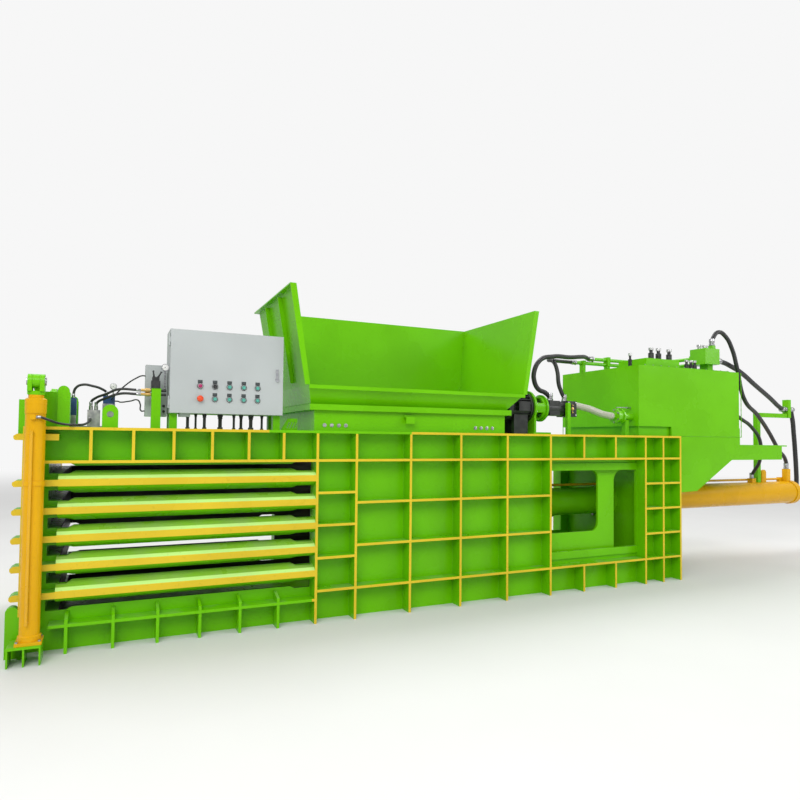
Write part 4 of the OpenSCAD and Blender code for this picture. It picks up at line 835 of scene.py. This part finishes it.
class BALER_OT_ferrules(bpy.types.Operator):
    """Crimped ferrules and nuts on the hose ends"""
    bl_idname = "baler.ferrules"
    bl_label = "Hose ferrules"

    def execute(self, context):
        long = context.scene.baler_fittings.ferrule
        bm = bmesh.new()
        for name, (r, line) in HOSES.items():
            if name.endswith("cable"):
                continue
            for end, inner in ((line[0], line[1]), (line[-1], line[-2])):
                place = aim(end, Vector(inner) - Vector(end))
                add_disc(bm, place, r * 1.45, r * 1.45, 0.0004, r * 0.9, 6)
                add_disc(bm, place, r * 1.22, r * 1.22, r * 0.95, r * long, 16)
                add_disc(bm, place, r * 1.3, r * 1.3, r * long * 0.55, r * long * 0.75, 16)
        finish_piece(bm, "hose_ferrules", turned_steel(), "frame")
        return {"FINISHED"}


# Button rings: inner radius and height. Plates over the buttons: foot, height and thickness
RING_IN, RING_H = 0.0193, 0.0075
PLATE_FOOT, PLATE_H, PLATE_T = 0.0215, 0.024, 0.0016


class BALER_OT_panel(bpy.types.Operator):
    """Rings, blank plates and lamp lens of the control panel"""
    bl_idname = "baler.panel"
    bl_label = "Control panel"

    def execute(self, context):
        f = context.scene.baler_fittings
        rings = bmesh.new()
        plates = bmesh.new()
        for x in BUTTON_X:
            for z in (BUTTON_TOP, BUTTON_LOW):
                if (x, z) == (BUTTON_X[0], BUTTON_LOW):
                    continue  # the stop button stands here, bare
                place = aim((x, DOOR_Y, z), (0, -1, 0))
                add_ring(rings, place, RING_IN, f.bezel_r, RING_H)
                low = z + PLATE_FOOT
                add_block(plates, (x - f.plate_w / 2, DOOR_Y - PLATE_T, low),
                          (x + f.plate_w / 2, DOOR_Y, low + PLATE_H), 0.0005)
        finish_piece(rings, "button_bezels", plastic("bezel_black", (0.02, 0.02, 0.02), 0.3),
                     "door")
        finish_piece(plates, "label_plates", plastic("plate_dark", (0.045, 0.055, 0.055), 0.4),
                     "door")
        lens = bmesh.new()
        dome = (aim((BUTTON_X[0], DOOR_Y - 0.0125, BUTTON_TOP), (0, -1, 0))
                @ Matrix.Diagonal((1, 1, 0.55, 1)))
        bmesh.ops.create_uvsphere(lens, u_segments=24, v_segments=12, radius=0.0155, matrix=dome)
        finish_piece(lens, "lamp_lens", plastic("lamp_magenta", (0.36, 0.01, 0.10), 0.15),
                     "door")
        return {"FINISHED"}


# Middle of each push button on the door: three in the upper row, four in the lower
BUTTONS = (tuple((x, BUTTON_TOP) for x in BUTTON_X[2:])
           + tuple((x, BUTTON_LOW) for x in BUTTON_X[1:]))


class BALER_OT_button_faces(bpy.types.Operator):
    """Pale dished faces of the push buttons"""
    bl_idname = "baler.button_faces"
    bl_label = "Button faces"

    def execute(self, context):
        mat = plastic("button_face", (0.10, 0.42, 0.33), 0.2)
        for i, (x, z) in enumerate(BUTTONS, 1):
            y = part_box("push_button_%d" % i)[0][1]
            bm = bmesh.new()
            place = aim((x, y, z), (0, -1, 0))
            add_ring(bm, place, 0.0085, 0.0115, 0.0012)
            add_disc(bm, place, 0.0082, 0.0078, 0.0, 0.0008)
            finish_piece(bm, "button_face_%d" % i, mat, "button_%d" % i)
        return {"FINISHED"}


# Each gauge's middle and radius
GAUGES = ((0.791, -0.575, 1.946, 0.026), (0.450, -0.350, 1.808, 0.024))


class BALER_OT_gauges(bpy.types.Operator):
    """Dials with ticks and a needle"""
    bl_idname = "baler.gauges"
    bl_label = "Gauge dials"

    def execute(self, context):
        face = bmesh.new()
        marks = bmesh.new()
        for x, y, z, r in GAUGES:
            front = y - 0.018
            place = aim((x, front, z), (0, -1, 0))
            add_disc(face, place, r * 0.84, r * 0.84, 0.0002, 0.0008, 32)
            for k in range(11):
                length = r * (0.2 if k % 5 == 0 else 0.12)
                add_mark(marks, (x, front - 0.0009, z), 27 * k - 135, r * 0.7,
                         (r * 0.045, 0.0004, length))
            add_mark(marks, (x, front - 0.0012, z), -118, r * 0.25, (r * 0.05, 0.0005, r * 0.8))
            add_disc(marks, place, r * 0.09, r * 0.09, 0.0008, 0.0016, 12)
        finish_piece(face, "gauge_faces", plastic("dial_white", (0.75, 0.75, 0.73), 0.35),
                     "frame")
        finish_piece(marks, "gauge_marks", plastic("dial_black", (0.02, 0.02, 0.02), 0.4),
                     "frame")
        return {"FINISHED"}


# Bolts in the hopper's foot: their places along it and their height
HOPPER_BOLT_X = (1.99, 2.05, 2.11, 2.17, 3.40, 3.46, 3.52, 3.58)
HOPPER_BOLT_Z = 1.545


class BALER_OT_bolts(bpy.types.Operator):
    """Bolt rows along the foot of the hopper and on the suction valve"""
    bl_idname = "baler.bolts"
    bl_label = "Bolts"

    def execute(self, context):
        r = context.scene.baler_fittings.bolt_r
        bm = bmesh.new()
        for x in HOPPER_BOLT_X:
            place = aim((x, FOOT_Y, HOPPER_BOLT_Z), (0, -1, 0))
            add_disc(bm, place, r * 1.35, r * 1.35, 0.0, 0.003, 20)
            add_disc(bm, place, r, r, 0.003, 0.011, 6)
        for x, way in ((VALVE_X0, -1), (VALVE_X1, 1)):
            add_bolt_circle(bm, (x, VALVE_Y, VALVE_Z), 0.064, 6, way, 0.010, 0.008)
        finish_piece(bm, "hopper_bolts", turned_steel(), "frame")
        return {"FINISHED"}


# Middles of the upright ribs along the body, and half of a rib's thickness
RIB_HALF = 0.010
RIBS = (1.914, 2.242, 2.7275, 3.213, 3.6985, 4.184, 5.384, 5.631, 5.877)


class BALER_OT_welds(bpy.types.Operator):
    """Weld beads beside the ribs, round the tank and along the hopper's foot"""
    bl_idname = "baler.welds"
    bl_label = "Weld beads"

    def execute(self, context):
        r = context.scene.baler_fittings.bead_r
        bm = bmesh.new()
        low, high = TANK[0][2], TANK[1][2]
        inset = 0.6 * r
        for side in (-1, 1):
            y = side * SIDE_Y
            for x in RIBS:
                for edge in (x - RIB_HALF, x + RIB_HALF):
                    if edge < BODY_X1 - 0.001:
                        add_bead(bm, (edge, y, 0.004), (edge, y, DECK_Z - 0.02), r)
            add_bead(bm, (BODY_X1 + 0.002, y, low), (TANK[1][0] - 0.002, y, low), r)
            for x in (TANK[0][0] + inset, TANK[1][0] - inset):
                edge = y - side * inset
                add_bead(bm, (x, edge, low + 0.004), (x, edge, high - 0.004), r)
        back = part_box("hopper_base")[1][1] - 0.04
        add_bead(bm, (FOOT_X0, FOOT_Y, DECK_Z), (FOOT_X1, FOOT_Y, DECK_Z), r)
        for x in (FOOT_X0 - 0.002, FOOT_X1 + 0.002):
            add_bead(bm, (x, FOOT_Y + 0.002, DECK_Z), (x, back, DECK_Z), r)
        finish_piece(bm, "weld_beads", weld_metal(), "frame", 70)
        return {"FINISHED"}


# Where each conduit stands on the deck, and its radius
CONDUITS = (
    (0.96, -0.52, 0.011), (1.02, -0.50, 0.008), (1.08, -0.53, 0.011), (1.20, -0.50, 0.014),
    (1.30, -0.52, 0.009), (1.36, -0.49, 0.011), (1.43, -0.52, 0.014), (1.52, -0.50, 0.009),
)


class BALER_OT_conduits(bpy.types.Operator):
    """Conduits and glands under the cabinet and on the terminal box"""
    bl_idname = "baler.conduits"
    bl_label = "Conduits"

    def execute(self, context):
        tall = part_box("cabinet_shell")[0][2] + 0.024 - DECK_Z
        pipes = bmesh.new()
        nuts = bmesh.new()
        for x, y, r in CONDUITS:
            place = Matrix.Translation((x, y, DECK_Z))
            add_disc(pipes, place, r, r, 0.001, tall - 0.0005, 16)
            for z0, z1 in ((0.0005, r * 1.2), (tall - r * 1.3, tall - 0.0008)):
                add_disc(nuts, place, r * 1.6, r * 1.6, z0, z1, 6)
            add_disc(nuts, place, r * 1.35, r * 1.15, tall - r * 2.4, tall - r * 1.3, 16)
        for x, z in ((0.792, 1.668), (0.792, 1.628)):
            place = aim((x, -0.480, z), (0, -1, 0))
            add_disc(nuts, place, 0.011, 0.011, 0.0002, 0.008, 6)
            add_disc(pipes, place, 0.0075, 0.0075, 0.008, 0.020, 16)
        finish_piece(pipes, "conduits", hose_rubber(), "frame")
        finish_piece(nuts, "conduit_glands", black_paint(), "frame")
        return {"FINISHED"}


# Screws along each long side of the tank's lid
LID_SCREWS = 12


class BALER_OT_pump_fittings(bpy.types.Operator):
    """Brass plugs and cap screws on the pump, and screws of the bell housing and tank lid"""
    bl_idname = "baler.pump_fittings"
    bl_label = "Pump fittings"

    def execute(self, context):
        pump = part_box("pump_body")
        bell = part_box("bell_housing")
        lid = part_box("tank_lid")
        screws = bmesh.new()
        plugs = bmesh.new()
        middle = pump[1][0] - 0.09
        for x in (middle - 0.046, middle + 0.046):
            for z in (PUMP_Z - 0.064, PUMP_Z + 0.064):
                add_disc(screws, aim((x, PUMP_FRONT, z), (0, -1, 0)), 0.009, 0.009, 0.0, 0.008, 12)
        for z, r in ((PUMP_Z, 0.019), (PUMP_Z + 0.035, 0.009), (PUMP_Z - 0.037, 0.009)):
            place = aim((middle, PUMP_FRONT, z), (0, -1, 0))
            add_hexagon(plugs, place, r, 0.012)
            add_disc(plugs, place, r * 0.7, r * 0.7, 0.012, 0.018, 16)
        add_bolt_circle(screws, (bell[0][0] + 0.062, PUMP_Y, PUMP_Z), 0.158, 12, 1, 0.009, 0.010)
        along = lid[1][0] - lid[0][0] - 0.04
        for k in range(LID_SCREWS):
            x = lid[0][0] + 0.02 + along * k / (LID_SCREWS - 1)
            for y in (lid[0][1] + 0.0095, lid[1][1] - 0.012):
                add_hexagon(screws, Matrix.Translation((x, y, LID_Z)), 0.0075, 0.006)
        finish_piece(screws, "pump_screws", turned_steel(), "frame")
        finish_piece(plugs, "brass_plugs", brass(), "frame")
        return {"FINISHED"}


# Plain colour behind the machine, and each lamp: place, aim, size and share of the key power
BACKGROUND = (0.93, 0.93, 0.93, 1)
LAMPS = (
    ("key_lamp", (-2.5, -8.5, 7.5), (3.5, 0, 0.8), (7, 5), 1.0),
    ("side_lamp", (12.5, -7.0, 6.0), (5.5, 0, 0.8), (5, 4), 0.5),
    ("top_lamp", (4.0, 2.5, 8.5), (4.0, 0, 1.0), (10, 4), 0.7),
)


class BALER_OT_stage(bpy.types.Operator):
    """Pale floor, plain background and soft lamps"""
    bl_idname = "baler.stage"
    bl_label = "Stage"

    def execute(self, context):
        s = context.scene.baler_stage
        bm = bmesh.new()
        bmesh.ops.create_circle(bm, cap_ends=True, segments=64, radius=150)
        mesh = bpy.data.meshes.new("studio_floor")
        bm.to_mesh(mesh)
        bm.free()
        floor = bpy.data.objects.new("studio_floor", mesh)
        context.scene.collection.objects.link(floor)
        mat = bpy.data.materials.new("studio_floor")
        mat.use_nodes = True
        tree = mat.node_tree
        w = Wire(tree)
        shader = tree.nodes["Principled BSDF"]
        cloud = w.noise(0.6, 4).ramp(0.3, 0.7)
        tone = cloud.mix(shade_of(s.floor, 0.97), s.floor)
        tree.links.new(tone.socket, shader.inputs["Base Color"])
        shader.inputs["Roughness"].default_value = 0.75
        x, y, _ = w.axes()
        away = w.maths("SQRT", (x - 4) * (x - 4) + y * y)
        glow = w.node("ShaderNodeEmission", None, {"Color": BACKGROUND})
        lit = Wire(tree, shader.outputs[0])
        fade = w.node("ShaderNodeMixShader", None, {0: away.ramp(9, 26), 1: lit, 2: glow})
        tree.links.new(fade.socket, tree.nodes["Material Output"].inputs["Surface"])
        mesh.materials.append(mat)

        world = bpy.data.worlds.new("studio")
        world.use_nodes = True
        context.scene.world = world
        tree = world.node_tree
        w = Wire(tree)
        place = w.node("ShaderNodeTexCoord", out=0)
        height = w.node("ShaderNodeSeparateXYZ", None, {"Vector": place}, out=2)
        sky = height.ramp(-0.1, 0.8).mix((0.50, 0.51, 0.53), (1.0, 1.0, 1.0))
        even = w.node("ShaderNodeBackground", None, {"Color": sky, "Strength": s.fill})
        seen = w.node("ShaderNodeBackground", None, {"Color": BACKGROUND, "Strength": 1.0})
        ray = w.node("ShaderNodeLightPath")
        both = w.node("ShaderNodeMixShader", None, {0: ray, 1: even, 2: seen})
        tree.links.new(both.socket, tree.nodes["World Output"].inputs["Surface"])

        for name, place, target, size, share in LAMPS:
            lamp = bpy.data.lights.new(name, "AREA")
            lamp.shape = "RECTANGLE"
            lamp.size, lamp.size_y = size
            lamp.energy = s.key * share
            obj = bpy.data.objects.new(name, lamp)
            obj.matrix_world = aim(place, Vector(place) - Vector(target))
            context.scene.collection.objects.link(obj)
        context.scene.view_settings.view_transform = "Standard"
        return {"FINISHED"}


OPERATORS = (BALER_OT_camera, BALER_OT_stage, BALER_OT_hoses, BALER_OT_paint,
             BALER_OT_ferrules, BALER_OT_panel, BALER_OT_button_faces, BALER_OT_gauges,
             BALER_OT_bolts, BALER_OT_welds, BALER_OT_conduits, BALER_OT_pump_fittings)
GROUPS = (BalerPaint, BalerFittings, BalerStage)


class BALER_PT_panel(bpy.types.Panel):
    """Lists the baler's operators and sizes"""
    bl_label = "Baler"
    bl_idname = "BALER_PT_panel"
    bl_space_type = "VIEW_3D"
    bl_region_type = "UI"
    bl_category = "Baler"

    def draw(self, context):
        scene = context.scene
        for group in (scene.baler_paint, scene.baler_fittings, scene.baler_stage):
            for name in group.__annotations__:
                self.layout.prop(group, name)
        for op in OPERATORS:
            self.layout.operator(op.bl_idname)


def register():
    for cls in GROUPS + OPERATORS + (BALER_PT_panel,):
        bpy.utils.register_class(cls)
    bpy.types.Scene.baler_paint = bpy.props.PointerProperty(type=BalerPaint)
    bpy.types.Scene.baler_fittings = bpy.props.PointerProperty(type=BalerFittings)
    bpy.types.Scene.baler_stage = bpy.props.PointerProperty(type=BalerStage)


def unregister():
    del bpy.types.Scene.baler_paint
    del bpy.types.Scene.baler_fittings
    del bpy.types.Scene.baler_stage
    for cls in reversed(GROUPS + OPERATORS + (BALER_PT_panel,)):
        bpy.utils.unregister_class(cls)


def main():
    """Registers the add-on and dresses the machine."""
    register()
    for op in OPERATORS:
        group, name = op.bl_idname.split(".")
        getattr(getattr(bpy.ops, group), name)()


if __name__ == "__main__":
    main()
